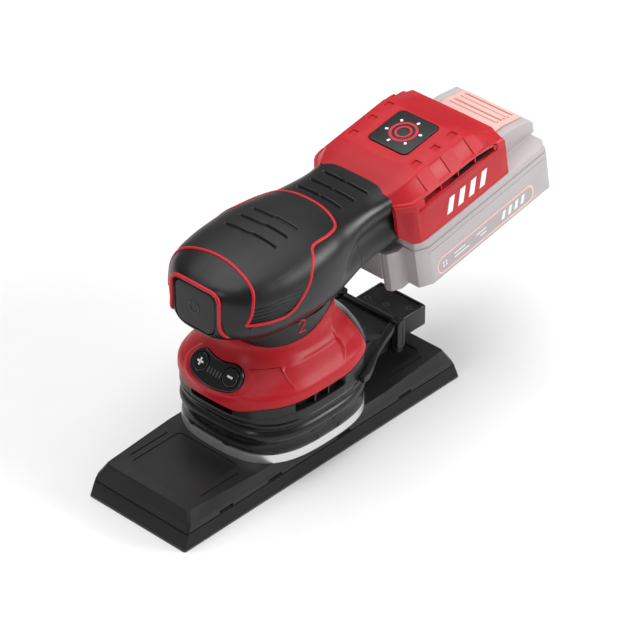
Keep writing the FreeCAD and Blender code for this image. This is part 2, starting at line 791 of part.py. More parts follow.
def switch_bezel():
    """Red frame over the top and sides of the power button."""
    ring = front_prism(button_outline(2.4), -60.2, -53.5)
    ring = ring.cut(front_prism(button_outline(0.4), -70, -50))
    return biggest(ring.cut(block(-30, 30, -70, -50, 80, BUTTON_BOTTOM + 6)))


def power_button():
    cap = front_prism(button_outline(0.0), BUTTON_FACE, -54.6)
    stem = block(-2.5, 2.5, -54.7, -51.6, 109, 115)
    return cap.fuse(stem).removeSplitter()


def switch_board():
    board = block(-11, 11, -46.0, -44.4, 101, 123)
    switch = block(-3.5, 3.5, -49.6, -46.0, 108.5, 115.5)
    return board.fuse(switch).removeSplitter()


BOARD_TOP = 111.6


def electronics_tray():
    tray = block(-15.5, 15.5, 25, 60, 106, 112)
    return tray.cut(block(-14, 14, 26.5, 58.5, 107.5, 114))


def control_board():
    return block(-13.8, 13.8, 26.7, 58.3, 110.0, BOARD_TOP)


def board_parts():
    parts = []
    for x in (-9.6, -3.2, 3.2, 9.6):
        parts.append(block(x - 2.6, x + 2.6, 29, 38, BOARD_TOP, BOARD_TOP + 1.8))
    for x in (-7.0, 7.0):
        parts.append(cylinder(5.0, V(x, 49, BOARD_TOP), V(x, 49, BOARD_TOP + 11.4)))
    return group(parts)


# ---- rear cover and battery dock, in the tilted frame of the battery ----------------
def cover_wire(v, half_x, flat_x, low, shoulder, top):
    outline = ((half_x, low), (half_x, shoulder), (flat_x, top),
               (-flat_x, top), (-half_x, shoulder), (-half_x, low))
    points = [V(x, v, w) for x, w in outline]
    return Part.makePolygon(points + points[:1])


# v, side half width, half width of the flat top, shoulder height, top height
COVER_SECTIONS = (
    (-3.0, 28.4, 22.0, 29.0, 35.4),
    (6.5, 36.0, 25.5, 28.0, 38.0),
    (14.0, 36.3, 26.3, 29.0, 38.7),
    (53.0, 36.6, 26.5, 28.8, 38.7),
    (75.0, 36.4, 27.5, 25.0, 30.0),
)


def cover_loft(inset, first, last, low):
    wires = []
    for index, (v, half_x, flat_x, shoulder, top) in enumerate(COVER_SECTIONS):
        if index == 0:
            v = v + first
        if index == len(COVER_SECTIONS) - 1:
            v = v + last
        wires.append(cover_wire(v, half_x - inset, flat_x - inset, low, shoulder - inset, top - inset))
    return loft(wires, True)


VENT_FINS = 16
VENT_START = 12.0
VENT_END = 66.0


def side_vents():
    """One long louvre of short slots in each shoulder of the cover."""
    cuts = []
    pitch = (VENT_END - VENT_START) / VENT_FINS
    for side in (-1, 1):
        for index in range(VENT_FINS):
            v = VENT_START + index * pitch
            x0, x1 = sorted((side * 30.0, side * 42.0))
            cuts.append(block(x0, x1, v, v + pitch - 1.0, 27.8, 31.4))
    return group(cuts)


def rear_cover():
    solid = cover_loft(0.0, 0.0, 0.0, COVER_BOTTOM)
    solid = solid.cut(cover_loft(WALL, -1.0, -WALL, COVER_BOTTOM - 10))
    solid = solid.cut(side_vents())
    solid = solid.cut(block(-RAIL_X - 0.6, RAIL_X + 0.6, 60, 90, 0, 17.4))
    solid = solid.cut(badge_block(-1.0))
    solid = in_dock(solid)
    return biggest(solid.cut(head_loft(0.0, 0.0, 3.0)))


def badge_block(depth):
    slab = block(-13.5, 13.5, 23.5, 51.5, 38.7 + depth, 39.4)
    upright = [edge for edge in slab.Edges if abs(edge.Length - (0.7 - depth)) < 0.01]
    return slab.makeFillet(3.0, upright)


def badge_plate():
    return in_dock(badge_block(-1.0).cut(block(-20, 20, 0, 90, 39.2, 45)))


def battery_dock():
    """Channel that holds the battery by its two side rails."""
    pieces = [block(-31, 31, DOCK_FRONT, DOCK_REAR, 11.6, DOCK_ROOF)]
    for side in (-1, 1):
        for inner, outer, low, high in ((26.4, 31.0, 3.8, 11.8), (22.5, 26.6, 3.8, 5.6)):
            x0, x1 = sorted((side * inner, side * outer))
            pieces.append(block(x0, x1, DOCK_FRONT, DOCK_REAR, low, high))
        x0, x1 = sorted((side * 31.0, side * 33.7))
        for v in (16, 52):
            pieces.append(block(x0, x1, v, v + 6, 8, 12))
    solid = fuse(pieces)
    return in_dock(solid.cut(blade_group(0.0)))


def blade_group(grow):
    blades = []
    for x in BLADE_X:
        blades.append(block(x - 0.4 - grow, x + 0.4 + grow, 8 - grow, 26 + grow, 7.2 - grow, 17.0))
    return group(blades)


def contact_blades():
    return in_dock(blade_group(0.0))


# ---- battery pack -------------------------------------------------------------------
def pack_plan(inset):
    """Plan outline of the wide body, with clipped front and rear corners."""
    x, front, rear = PACK_X - inset, PACK_FRONT + inset, PACK_REAR - inset
    half = ((x - 4, front), (x, front + 7), (x, rear - 3.5), (x - 4, rear))
    return half + tuple((-px, v) for px, v in reversed(half))


def plan_wire(outline, z):
    points = [V(x, y, z) for x, y in outline]
    return Part.makePolygon(points + points[:1])


def pack_nose():
    """Narrow front of the pack between two deeper cheeks."""
    nose = block(-19, 19, -9.6, 12, NOSE_BOTTOM, PACK_SEAM)
    cheek = ((17.5, 12), (17.5, -7.5), (20.0, -9.0), (23.0, -8.0), (26.0, -3.0), (26.0, 12))
    cheeks = [plan_prism([(side * x, v) for x, v in cheek], CHEEK_BOTTOM, PACK_SEAM) for side in (-1, 1)]
    return fuse([nose] + cheeks)


def pack_lower():
    foot = loft([plan_wire(pack_plan(3.0), PACK_BOTTOM), plan_wire(pack_plan(0.0), PACK_BOTTOM + 3.0)], True)
    body = plan_prism(pack_plan(0.0), PACK_BOTTOM + 3.0, PACK_SEAM)
    body = fuse([body, foot, pack_nose()]).removeSplitter()
    space = plan_prism(pack_plan(WALL), PACK_BOTTOM + WALL, PACK_SEAM + 1)
    space = space.fuse(block(-15, 15, -7.1, 12, NOSE_BOTTOM + WALL, PACK_SEAM + 1))
    solid = body.cut(space).cut(group(pack_screw_list()))
    for side in (-1, 1):
        solid = solid.cut(label_solid(side))
    return in_dock(solid)


def pack_upper():
    deck = plan_prism(pack_plan(0.6), PACK_SEAM, 3.0)
    neck = block(-RAIL_NECK_X, RAIL_NECK_X, RAIL_FRONT, 80, 3, 6)
    rail = block(-RAIL_X, RAIL_X, RAIL_FRONT, 80, 6, RAIL_TOP)
    rear_outline = ((76, 3), (108.6, 3), (108.6, 9.4), (105.8, 13.0), (90, 16.8), (76, 16.8))
    rear = side_prism(rear_outline, -RAIL_X, RAIL_X)
    solid = fuse([deck, neck, rail, rear])
    space = block(-32, 32, 6, 98, PACK_SEAM - 1, 1.0)
    solid = solid.cut(space)
    for x in BLADE_X:
        solid = solid.cut(block(x - 1.2, x + 1.2, 3, 40, 6.6, 12))
    solid = solid.cut(block(-21, 21, 84, 112, 4.5, 20))
    return in_dock(solid)


def battery_terminals():
    return in_dock(group([block(x - 0.9, x + 0.9, 30, 38, 6.6, 10) for x in BLADE_X]))


def battery_cells():
    cells = []
    for index in range(CELL_COUNT):
        v = FIRST_CELL + CELL_PITCH * index
        can = cylinder(CELL_R, V(-32.5, v, -15.4), V(31.5, v, -15.4))
        tip = cylinder(3.0, V(31.5, v, -15.4), V(32.5, v, -15.4))
        cells.append(can.fuse(tip))
    return in_dock(group(cells))


def cell_holder():
    plates = []
    for side in (-1, 1):
        x0, x1 = sorted((side * 27.0, side * 30.0))
        plates.append(block(x0, x1, 6.2, 98.5, PACK_BOTTOM + 3.2, -5.6))
    tie = block(-27, 27, 6.2, 98.5, -6.0, -5.4)
    solid = fuse(plates + [tie])
    holes = []
    for index in range(CELL_COUNT):
        v = FIRST_CELL + CELL_PITCH * index
        holes.append(cylinder(CELL_R, V(-40, v, -15.4), V(40, v, -15.4)))
    return in_dock(solid.cut(group(holes)))


def battery_board():
    return in_dock(block(-29, 29, 8, 96, -4.6, -3.2))


def pack_screw_list():
    return [screw(2.6, 1.3, V(x, v, PACK_BOTTOM + 0.4), V(x, v, PACK_BOTTOM + 2.4), 1.4)
            for x in (-32.0, 32.0) for v in (14.0, 90.0)]


def battery_screws():
    return in_dock(group(pack_screw_list()))


LEAF = 0.5                    # thickness of the latch spring
LABEL_FRONT = 10.0
LABEL_REAR = 94.0
LABEL_LOW = -24.0
LABEL_HIGH = -14.6


def label_solid(side):
    """A label plate let into one side of the pack."""
    x0, x1 = sorted((side * (PACK_X - 0.6), side * (PACK_X + 0.1)))
    slab = block(x0, x1, LABEL_FRONT + 3, LABEL_REAR - 4, LABEL_LOW, LABEL_HIGH)
    corners = [edge for edge in slab.Edges if abs(edge.Length - 0.7) < 0.01]
    return slab.makeFillet(3.5, corners)


def battery_labels():
    return in_dock(group([label_solid(-1), label_solid(1)]))


def release_button():
    outline = ((84.6, 8.6), (108.0, 8.6), (108.0, 10.0), (105.6, 13.4), (90.0, 17.3), (84.6, 17.3))
    cap = side_prism(outline, -20.4, 20.4)
    tooth = block(-8, 8, 84.6, 90, 7.6, 9.2)
    ridges = []
    for index in range(5):
        v = 90.5 + index * 2.9
        ridges.append(block(-17, 17, v, v + 1.0, 8, 30))
    skin = cap.cut(placed(cap, FreeCAD.Placement(V(0, 0, -0.6), FreeCAD.Rotation())))
    return in_dock(cap.fuse(tooth).removeSplitter().cut(skin.common(group(ridges))))


def latch_spring():
    """Arched leaf spring that pushes the button back up."""
    lower = [(88.0, 4.7), (92.0, 4.7), (97.0, 7.6), (102.0, 4.7), (106.0, 4.7)]
    upper = [(v, w + LEAF) for v, w in reversed(lower)]
    return in_dock(side_prism(lower + upper, -9.0, 9.0))


# ---- dust duct and adapter ----------------------------------------------------------
def dust_duct():
    """Black duct behind the round base, ending in a flange with two side lugs."""
    walls = block(-DUCT_X, DUCT_X, 40, 67, 29, 42)
    flange = block(-FLANGE_X, FLANGE_X, 67, 74, 27.5, 45.5)
    catch = block(-FLANGE_X, FLANGE_X, 67.0, 71.5, 45.5, 47.0)
    lugs = [tube(3.4, 1.5, V(x, 70.5, 29.0), V(x, 70.5, 48.5)) for x in (-LUG_X, LUG_X)]
    riser = block(-16.5, 16.5, 39.0, 50, 41, VENT_TOP)
    half_roof = [(14.6, 46.0), (15.0, 49.4), (18.6, 55.7), (20.6, 61.0), (20.6, 67.5)]
    roof = plan_prism(half_roof + [(-x, y) for x, y in reversed(half_roof)], 41.5, 46.2)
    arms = [side_arm(1), side_arm(-1)]
    solid = fuse([walls, flange, catch, riser, roof] + arms)
    passage = block(-15.6, 15.6, 30, 80, 31.0, 40.6)
    throat = block(-14.5, 14.5, 34, 48, 38, 51.6)
    solid = solid.cut(passage).cut(throat)
    front, back = MOTOR_Y - RING_Y - 1, MOTOR_Y + RING_Y + 0.3
    base_space = [flat_ring(z, RING_X + 0.3, front, back, RING_POWER) for z in (20.0, 60.0)]
    solid = solid.cut(loft(base_space, True))
    solid = biggest(solid)
    for lug in lugs:
        solid = solid.fuse(lug)
    return solid.removeSplitter()


def side_arm(side):
    """Strut from the side of the round base back to the flange."""
    outer = [(39.0, 20.0), (42.8, 20.0), (42.0, 25.0), (38.6, 31.8), (32.8, 41.4), (28.8, 50.4), (24.6, 61.4)]
    inner = [(21.4, 68.0), (17.6, 68.0), (20.6, 60.0), (25.0, 49.0), (29.2, 39.5), (34.0, 32.0)]
    points = [(side * x, y) for x, y in outer + inner]
    return plan_prism(points, 44.0, 47.4)


def dust_adapter():
    """Outlet box that plugs into the duct's flange."""
    box = block(-PORT_X, PORT_X, PORT_FRONT, PORT_REAR, PORT_BOTTOM, PORT_TOP)
    edges = [edge for edge in box.Edges if edge.BoundBox.YLength > 20]
    box = box.makeFillet(1.2, edges)
    spigot = block(-15.2, 15.2, 68, PORT_FRONT + 1, 31.4, 40.2)
    plinth = block(-12, 12, PORT_REAR - 12, PORT_REAR, PORT_BOTTOM - 2.2, PORT_BOTTOM + 1)
    solid = fuse([box, spigot, plinth])
    solid = solid.cut(block(-13.2, 13.2, 60, 110, 33.2, 38.4))
    solid = solid.cut(block(-14.0, 14.0, PORT_FRONT + 6, 110, 32.0, 40.0))
    return solid.cut(group(adapter_screw_list()))


def adapter_screw_list():
    return [screw(2.0, 0.9, V(x, y, PORT_TOP - 0.6), V(x, y, PORT_TOP - 2.3), 1.0)
            for x, y in ((-11.5, 82.0), (0.0, 84.0), (11.5, 90.0))]


def adapter_screws():
    return group(adapter_screw_list())


# ---- all pieces ---------------------------------------------------------------------
def all_parts():
    shell = head_shell()
    parts = {
        "head_shell_left": head_half(shell, -1),
        "head_shell_right": head_half(shell, 1),
        "plus_key": key(-KEY_X),
        "minus_key": key(KEY_X),
    }
    makers = (
        hook_layer, foam_layer, top_plate, pad_screws, pad_base, pad_bearing,
        motor_shaft, eccentric_hub, hub_screw, counterweight, cooling_fan, rotor_core, rotor_magnets,
        motor_stator, stator_windings, motor_sleeve, lower_bearing, upper_bearing, motor_carrier,
        carrier_screws, bearing_bridge, wire_leads, guide_posts, boot, vent_ring, base_shroud,
        rear_housing, collar, keypad_frame, level_lights, keypad_board, palm_pad, case_screws,
        switch_bezel, power_button, switch_board, electronics_tray, control_board, board_parts,
        rear_cover, badge_plate, battery_dock, contact_blades, pack_lower, pack_upper,
        battery_terminals, battery_cells, cell_holder, battery_board, battery_screws,
        battery_labels, release_button, latch_spring, dust_duct, dust_adapter, adapter_screws,
    )
    for maker in makers:
        parts[maker.__name__] = maker()
    return parts


os.makedirs("parts", exist_ok=True)
for name, shape in all_parts().items():
    shape.exportStep("parts/" + name + ".step")
    print(name, "solids", len(shape.Solids), "volume", round(shape.Volume), "valid", shape.isValid())
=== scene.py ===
import json
import math

import bmesh
import bpy
import numpy as np
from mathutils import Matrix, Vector


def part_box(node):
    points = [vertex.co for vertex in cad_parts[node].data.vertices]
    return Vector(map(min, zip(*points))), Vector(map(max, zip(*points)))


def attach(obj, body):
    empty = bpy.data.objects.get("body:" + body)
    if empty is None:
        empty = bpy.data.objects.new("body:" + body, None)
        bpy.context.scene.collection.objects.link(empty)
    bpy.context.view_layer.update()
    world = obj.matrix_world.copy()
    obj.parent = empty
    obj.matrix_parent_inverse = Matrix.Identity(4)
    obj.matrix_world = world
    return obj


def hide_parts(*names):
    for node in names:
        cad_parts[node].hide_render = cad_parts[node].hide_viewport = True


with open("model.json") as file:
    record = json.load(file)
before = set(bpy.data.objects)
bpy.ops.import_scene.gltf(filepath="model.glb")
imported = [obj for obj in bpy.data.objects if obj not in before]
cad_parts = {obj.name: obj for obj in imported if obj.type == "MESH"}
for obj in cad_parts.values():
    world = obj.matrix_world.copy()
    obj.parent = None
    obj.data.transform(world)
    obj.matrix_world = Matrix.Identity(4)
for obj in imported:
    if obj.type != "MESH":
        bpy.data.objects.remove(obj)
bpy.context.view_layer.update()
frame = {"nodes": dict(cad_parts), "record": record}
scene = bpy.context.scene
nodes = frame["nodes"]
MM = 0.001
TAU = 2 * math.pi
WELD = 2e-6                     # metres within which points become one


# ---- places read from the frame, in millimetres
def box_mm(node):
    low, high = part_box(node)
    return np.array(low) / MM, np.array(high) / MM


def middle(node):
    low, high = box_mm(node)
    return (low + high) / 2


rail = next(m for m in frame["record"]["mounts"] if m["name"] == "battery_rail")
RAIL_AT = np.array(rail["pos_m"]) / MM
ALONG = np.array(rail["axis"], float)                 # the way the battery slides off
ACROSS = np.array((0.0, -ALONG[2], ALONG[1]))         # up out of the battery's deck
RAIL_V, RAIL_W = 37.0, 8.5                            # where the rail's mount lies in the dock
DOCK_ZERO = RAIL_AT - RAIL_V * ALONG - RAIL_W * ACROSS
MOTOR_Y = middle("lower_bearing")[1]
RING_X, RING_Y, RING_POWER = 41.5, 46.3, 2.9          # half width, half length and squareness of the vent ring
COLLAR_TOP = box_mm("collar")[1][2]
BODY_OF = {n: b for b, ns in frame["record"]["behaviour"]["bodies"].items() for n in ns}
SLOT_OF = {p["node"]: p["material_slot"] for p in frame["record"]["subparts"]}


def dock(x, v, w):
    """A point given across, along and above the battery dock, in the shared frame."""
    return np.array((x, 0.0, 0.0)) + DOCK_ZERO + v * ALONG + w * ACROSS


# ---- materials
def node_of(tree, kind, **inputs):
    made = tree.nodes.new(kind)
    for key, value in inputs.items():
        made.inputs[key.replace("_", " ")].default_value = value
    return made


def colour_mix(tree, factor, second, **inputs):
    """A mix of colours whose second colour is fixed."""
    made = tree.nodes.new("ShaderNodeMix")
    made.data_type = "RGBA"
    tree.links.new(factor, made.inputs["Factor"])
    for socket, value in dict(inputs, B=second).items():
        made.inputs[socket].default_value = value
    return made


LOOKS = {}
PATTERNS = {
    "noise": ("ShaderNodeTexNoise", {"Detail": 3.0}, "Fac"),
    "wave": ("ShaderNodeTexWave", {"Distortion": 0.4}, "Fac"),
    "cells": ("ShaderNodeTexVoronoi", {}, "Distance"),
}


def shader(name, colour, rough, metal=0.0, grain=2200.0, bump=0.12, depth=0.00008, mottle=0.10,
           wear=0.30, coat=0.0, specular=0.5, stretch=(1, 1, 1), pattern="noise", sheen=0.0):
    """A procedural surface: colour drift, worn edges, uneven gloss and a fine relief."""
    mat = bpy.data.materials.new(name)
    mat.use_nodes = True
    tree = mat.node_tree
    link = tree.links.new
    bsdf = tree.nodes["Principled BSDF"]
    for socket, value in (("Metallic", metal), ("Specular IOR Level", specular), ("Coat Weight", coat),
                          ("Coat Roughness", 0.25), ("Sheen Weight", sheen)):
        bsdf.inputs[socket].default_value = value
    where = tree.nodes.new("ShaderNodeTexCoord").outputs["Object"]
    mapping = node_of(tree, "ShaderNodeMapping", Scale=stretch)
    link(where, mapping.inputs["Vector"])
    kind, inputs, height = PATTERNS[pattern]
    fine = node_of(tree, kind, Scale=grain, **inputs)
    link(mapping.outputs["Vector"], fine.inputs["Vector"])
    broad = node_of(tree, "ShaderNodeTexNoise", Scale=42.0, Detail=4.0, Roughness=0.6)
    link(where, broad.inputs["Vector"])
    darker = [c * (1 - mottle) for c in colour] + [1]
    lighter = [min(1, c * (1 + mottle) + 0.002) for c in colour] + [1]
    tint = colour_mix(tree, broad.outputs["Fac"], lighter, A=darker)
    edge = node_of(tree, "ShaderNodeMapRange", From_Min=0.53, From_Max=0.64, To_Max=wear)
    link(tree.nodes.new("ShaderNodeNewGeometry").outputs["Pointiness"], edge.inputs["Value"])
    worn = colour_mix(tree, edge.outputs["Result"], [min(1, c * 1.5 + 0.035) for c in colour] + [1])
    link(tint.outputs["Result"], worn.inputs["A"])
    link(worn.outputs["Result"], bsdf.inputs["Base Color"])
    gloss = node_of(tree, "ShaderNodeMapRange", From_Min=0.3, From_Max=0.7, To_Min=rough - 0.05,
                    To_Max=rough + 0.06)
    link(broad.outputs["Fac"], gloss.inputs["Value"])
    link(gloss.outputs["Result"], bsdf.inputs["Roughness"])
    relief = node_of(tree, "ShaderNodeBump", Strength=bump, Distance=depth)
    link(fine.outputs[height], relief.inputs["Height"])
    link(relief.outputs["Normal"], bsdf.inputs["Normal"])
    LOOKS[name] = mat


shader("red_shell", (0.43, 0.007, 0.014), 0.38, mottle=0.05, wear=0.22, specular=0.26)
shader("black_shell", (0.0055, 0.0055, 0.006), 0.33, mottle=0.12, wear=0.12, specular=0.36)
shader("soft_grip", (0.007, 0.007, 0.0075), 0.40, bump=0.22, grain=1700, sheen=0.02, specular=0.36)
shader("button_black", (0.012, 0.012, 0.013), 0.42, bump=0.2, specular=0.30)
shader("keypad_black", (0.004, 0.004, 0.005), 0.16, coat=0.4, bump=0.03, specular=0.35)
shader("lamp_clear", (0.07, 0.075, 0.08), 0.25, coat=0.3)
shader("boot_rubber", (0.006, 0.006, 0.007), 0.29, bump=0.06, mottle=0.2, specular=0.34)
shader("pad_plastic", (0.0065, 0.0065, 0.007), 0.38, bump=0.30, grain=1500, wear=0.2, specular=0.33)
shader("pad_foam", (0.010, 0.010, 0.011), 0.62, pattern="cells", grain=1300, bump=0.5, specular=0.25)
shader("hook_facing", (0.030, 0.030, 0.032), 0.9, pattern="cells", grain=2400, bump=0.9, depth=0.0003, sheen=0.3)
shader("cast_aluminium", (0.62, 0.62, 0.63), 0.34, metal=0.75, stretch=(0.15, 0.15, 4.0), grain=1500, bump=0.10,
       mottle=0.06)
shader("steel", (0.56, 0.56, 0.58), 0.28, metal=1.0, stretch=(0.3, 0.3, 3.0), mottle=0.08)
shader("zinc_screw", (0.075, 0.075, 0.08), 0.36, metal=0.8, mottle=0.15)
shader("copper_wire", (0.72, 0.30, 0.13), 0.30, metal=1.0, pattern="wave", grain=420, bump=0.8,
       depth=0.0002)
shader("magnet", (0.60, 0.60, 0.63), 0.16, metal=1.0)
shader("fan_plastic", (0.05, 0.05, 0.055), 0.55, bump=0.3)
shader("board_green", (0.02, 0.13, 0.055), 0.35, pattern="wave", grain=320, bump=0.15, coat=0.3)
shader("component_black", (0.03, 0.03, 0.033), 0.5, bump=0.25)
shader("lead_insulation", (0.33, 0.02, 0.02), 0.45)
shader("badge_grey", (0.008, 0.009, 0.010), 0.32, coat=0.10, bump=0.06, specular=0.30)
shader("pack_grey", (0.46, 0.425, 0.43), 0.52, mottle=0.04, wear=0.35, bump=0.18, specular=0.25)
shader("pack_pink", (0.74, 0.45, 0.41), 0.46, mottle=0.04, bump=0.15, specular=0.3)
shader("pack_label", (0.36, 0.325, 0.335), 0.42, mottle=0.04, specular=0.3)
shader("cell_can", (0.06, 0.18, 0.36), 0.3, coat=0.4)
shader("contact_copper", (0.80, 0.50, 0.24), 0.24, metal=1.0)
shader("duct_plastic", (0.0055, 0.0055, 0.006), 0.36, bump=0.30, grain=1500, specular=0.36)
shader("print_white", (0.86, 0.86, 0.86), 0.42, mottle=0.03, bump=0.05)
shader("print_pale", (0.72, 0.70, 0.70), 0.45, mottle=0.03, bump=0.05)
shader("piping_red", (0.52, 0.010, 0.020), 0.38, mottle=0.05, specular=0.3)
shader("mark_black", (0.010, 0.010, 0.011), 0.30, mottle=0.1)
# flat dark matte look for the sheets lining the cover's vent slots: painted shade standing in for the dark openings
shader("slot_painted_shade", (0.006, 0.006, 0.006), 0.7, mottle=0.2)
for node_name, node_object in nodes.items():
    node_object.data.materials.clear()
    node_object.data.materials.append(LOOKS[SLOT_OF[node_name]])


# ---- mesh helpers
def mesh_data(name, points, faces, weld=True):
    """A mesh from points in millimetres."""
    data = bpy.data.meshes.new(name)
    data.from_pydata([tuple(float(c) * MM for c in p) for p in points], [], faces)
    bm = bmesh.new()
    bm.from_mesh(data)
    if weld:
        bmesh.ops.remove_doubles(bm, verts=bm.verts, dist=WELD)
        bmesh.ops.dissolve_degenerate(bm, dist=1e-7, edges=bm.edges)
    bmesh.ops.recalc_face_normals(bm, faces=bm.faces)
    bm.to_mesh(data)
    bm.free()
    return data


def set_all(thing, **settings):
    for key, value in settings.items():
        setattr(thing, key, value)
    return thing


def placed(name, data):
    ob = bpy.data.objects.new(name, data)
    scene.collection.objects.link(ob)
    return ob


def piece(name, mesh, look, slot=None, body="housing", replaces=None, sharp=35.0, **carving):
    """A closed piece from (points, faces), riding on a body; carving is what carve does to it."""
    ob = placed(name, mesh_data(name, *mesh))
    dress(ob, look, slot, body, replaces, sharp)
    if carving:
        carve(ob, **carving)
        dress(ob, look, slot, body, replaces, sharp)


def dress(ob, look, slot, body, replaces, sharp):
    """Gives a piece its look and its body, and hides the CAD node it replaces; the slot is not given to it."""
    data = ob.data
    data.materials.clear()
    data.materials.append(LOOKS[look])
    data.polygons.foreach_set("use_smooth", [True] * len(data.polygons))
    data.set_sharp_from_angle(angle=math.radians(sharp))
    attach(ob, body)
    if slot != "":
        slot or look
    if replaces:
        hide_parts(replaces)


def merged(parts):
    """Several (points, faces) meshes as one."""
    points, faces = [], []
    for some_points, some_faces in parts:
        start = len(points)
        points.extend(some_points)
        faces.extend([tuple(i + start for i in f) for f in some_faces])
    return points, faces


def grid_faces(rows, cols, wrap_rows=False, wrap_cols=False):
    faces = []
    for r in range(rows if wrap_rows else rows - 1):
        for c in range(cols if wrap_cols else cols - 1):
            r1, c1 = (r + 1) % rows, (c + 1) % cols
            faces.append((r * cols + c, r * cols + c1, r1 * cols + c1, r1 * cols + c))
    return faces


def ring_stack(rows):
    """A closed solid through rings of points, with flat ends."""
    rows = np.array(rows, float)
    count, cols = rows.shape[:2]
    faces = grid_faces(count, cols, wrap_cols=True)
    faces += [tuple(range(cols)), tuple(range((count - 1) * cols, count * cols))]
    return list(rows.reshape(-1, 3)), faces


def loop_of_rings(rows):
    """A closed solid through rings of points, the last of which joins the first."""
    rows = np.array(rows, float)
    return list(rows.reshape(-1, 3)), grid_faces(*rows.shape[:2], wrap_rows=True, wrap_cols=True)


def flat_loop(outer, inner, low, high, place):
    """A flat band between two outlines."""
    profile = ((outer, low), (outer, high), (inner, high), (inner, low))
    return loop_of_rings([[place(a, b, h) for a, b in loop] for loop, h in profile])


def thick_sheet(outer, inner):
    """A thick open sheet between two grids of the same size."""
    outer, inner = np.array(outer), np.array(inner)
    count, cols = outer.shape[:2]
    points = list(outer.reshape(-1, 3)) + list(inner.reshape(-1, 3))
    half = count * cols
    faces = grid_faces(count, cols)
    faces = faces + [tuple(i + half for i in reversed(f)) for f in faces]
    index = np.arange(half).reshape(count, cols)
    rim = np.concatenate([index[0], index[1:, -1], index[-1, -2::-1], index[-2:0:-1, 0]]).tolist()
    for a, b in zip(rim, rim[1:] + rim[:1]):
        faces.append((a, b, b + half, a + half))
    return points, faces


def masked_sheet(outer, inner, keep):
    """The part of a thick sheet whose cells are kept, with its own rim."""
    count, cols = outer.shape[:2]
    half = count * cols
    points = list(outer.reshape(-1, 3)) + list(inner.reshape(-1, 3))
    faces = []
    for r, c in np.argwhere(keep):
        a, b, d, e = r * cols + c, r * cols + c + 1, (r + 1) * cols + c + 1, (r + 1) * cols + c
        faces.append((a, b, d, e))
        faces.append((e + half, d + half, b + half, a + half))
        sides = (((r - 1, c), a, b), ((r, c + 1), b, d), ((r + 1, c), d, e), ((r, c - 1), e, a))
        for near, first, second in sides:
            inside = 0 <= near[0] < count - 1 and 0 <= near[1] < cols - 1 and keep[near]
            if not inside:
                faces.append((second, first, first + half, second + half))
    used = sorted({i for f in faces for i in f})
    place = {old: new for new, old in enumerate(used)}
    return [points[i] for i in used], [tuple(place[i] for i in f) for f in faces]


def prism(outline, low, high, to_frame=lambda a, b, h: (a, b, h)):
    """An outline (a, b) raised from low to high; to_frame turns (a, b, height) into a point."""
    count = len(outline)
    points = [to_frame(a, b, low) for a, b in outline] + [to_frame(a, b, high) for a, b in outline]
    faces = [tuple(range(count)), tuple(range(count, 2 * count))]
    for i in range(count):
        j = (i + 1) % count
        faces.append((i, j, j + count, i + count))
    return points, faces


def slab(x0, x1, y0, y1, low, high, *place):
    """A prism over a rectangle."""
    (x0, x1), (y0, y1) = sorted((x0, x1)), sorted((y0, y1))
    return prism([(x0, y0), (x1, y0), (x1, y1), (x0, y1)], low, high, *place)


def circle(x, y, radius, steps=40):
    return arc_points(x, y, radius, 0, 360, steps)[:-1]


def rounded(x0, x1, y0, y1, radius, steps=5):
    """A rectangle with round corners."""
    (x0, x1), (y0, y1) = sorted((x0, x1)), sorted((y0, y1))
    corners = ((x1 - radius, y1 - radius, 0), (x0 + radius, y1 - radius, 90), (x0 + radius, y0 + radius, 180),
               (x1 - radius, y0 + radius, 270))
    return [point for x, y, start in corners for point in arc_points(x, y, radius, start, start + 90, steps)]


def arc_points(x, y, radius, start, stop, steps):
    """Points along an arc between two angles in degrees."""
    turns = [math.radians(start + (stop - start) * step / steps) for step in range(steps + 1)]
    return [(x + radius * math.cos(turn), y + radius * math.sin(turn)) for turn in turns]


def turned(outline, x, y, turn):
    """The outline turned about the origin, then moved to (x, y)."""
    c, s = math.cos(turn), math.sin(turn)
    return [(x + a * c - b * s, y + a * s + b * c) for a, b in outline]


def leaning(x, low, high, width, lean):
    """A slanted bar between two heights."""
    return [(x, low), (x + width, low), (x + width + lean, high), (x + lean, high)]


def grown(outline, amount):
    """The outline moved outwards by an amount, corner by corner."""
    count = len(outline)
    area = sum(a[0] * b[1] - b[0] * a[1] for a, b in zip(outline, outline[1:] + outline[:1]))
    sign = 1 if area > 0 else -1
    moved = []
    for i in range(count):
        before, here, after = (Vector(outline[k % count]) for k in (i - 1, i, i + 1))
        one, two = (here - before).normalized(), (after - here).normalized()
        n1, n2 = Vector((one.y, -one.x)) * sign, Vector((two.y, -two.x)) * sign
        mean = (n1 + n2).normalized()
        moved.append(tuple(here + mean * amount / max(0.4, mean.dot(n1))))
    return moved


def pillow(outline, low, high, edge, to_frame, crown=0.0):
    """A raised panel whose upper edge is rounded and whose face may be crowned."""
    rings = [(0.0, low)] + arc_points(-edge, high - edge, edge, 0, 90, 4)
    rows = [[to_frame(a, b, h) for a, b in grown(outline, amount)] for amount, h in rings]
    if crown:
        centre = np.mean(np.array(outline), axis=0)
        for share in (0.75, 0.5, 0.25):
            loop = grown(outline, -edge)
            rows.append([to_frame(*(centre + share * (np.array(p) - centre)), high + crown * (1 - share ** 2))
                         for p in loop])
    return ring_stack(rows)


def unit(rows):
    return rows / np.maximum(np.linalg.norm(rows, axis=-1, keepdims=True), 1e-9)


UP, FORWARD = (0.0, 0.0, 1.0), (0.0, -1.0, 0.0)


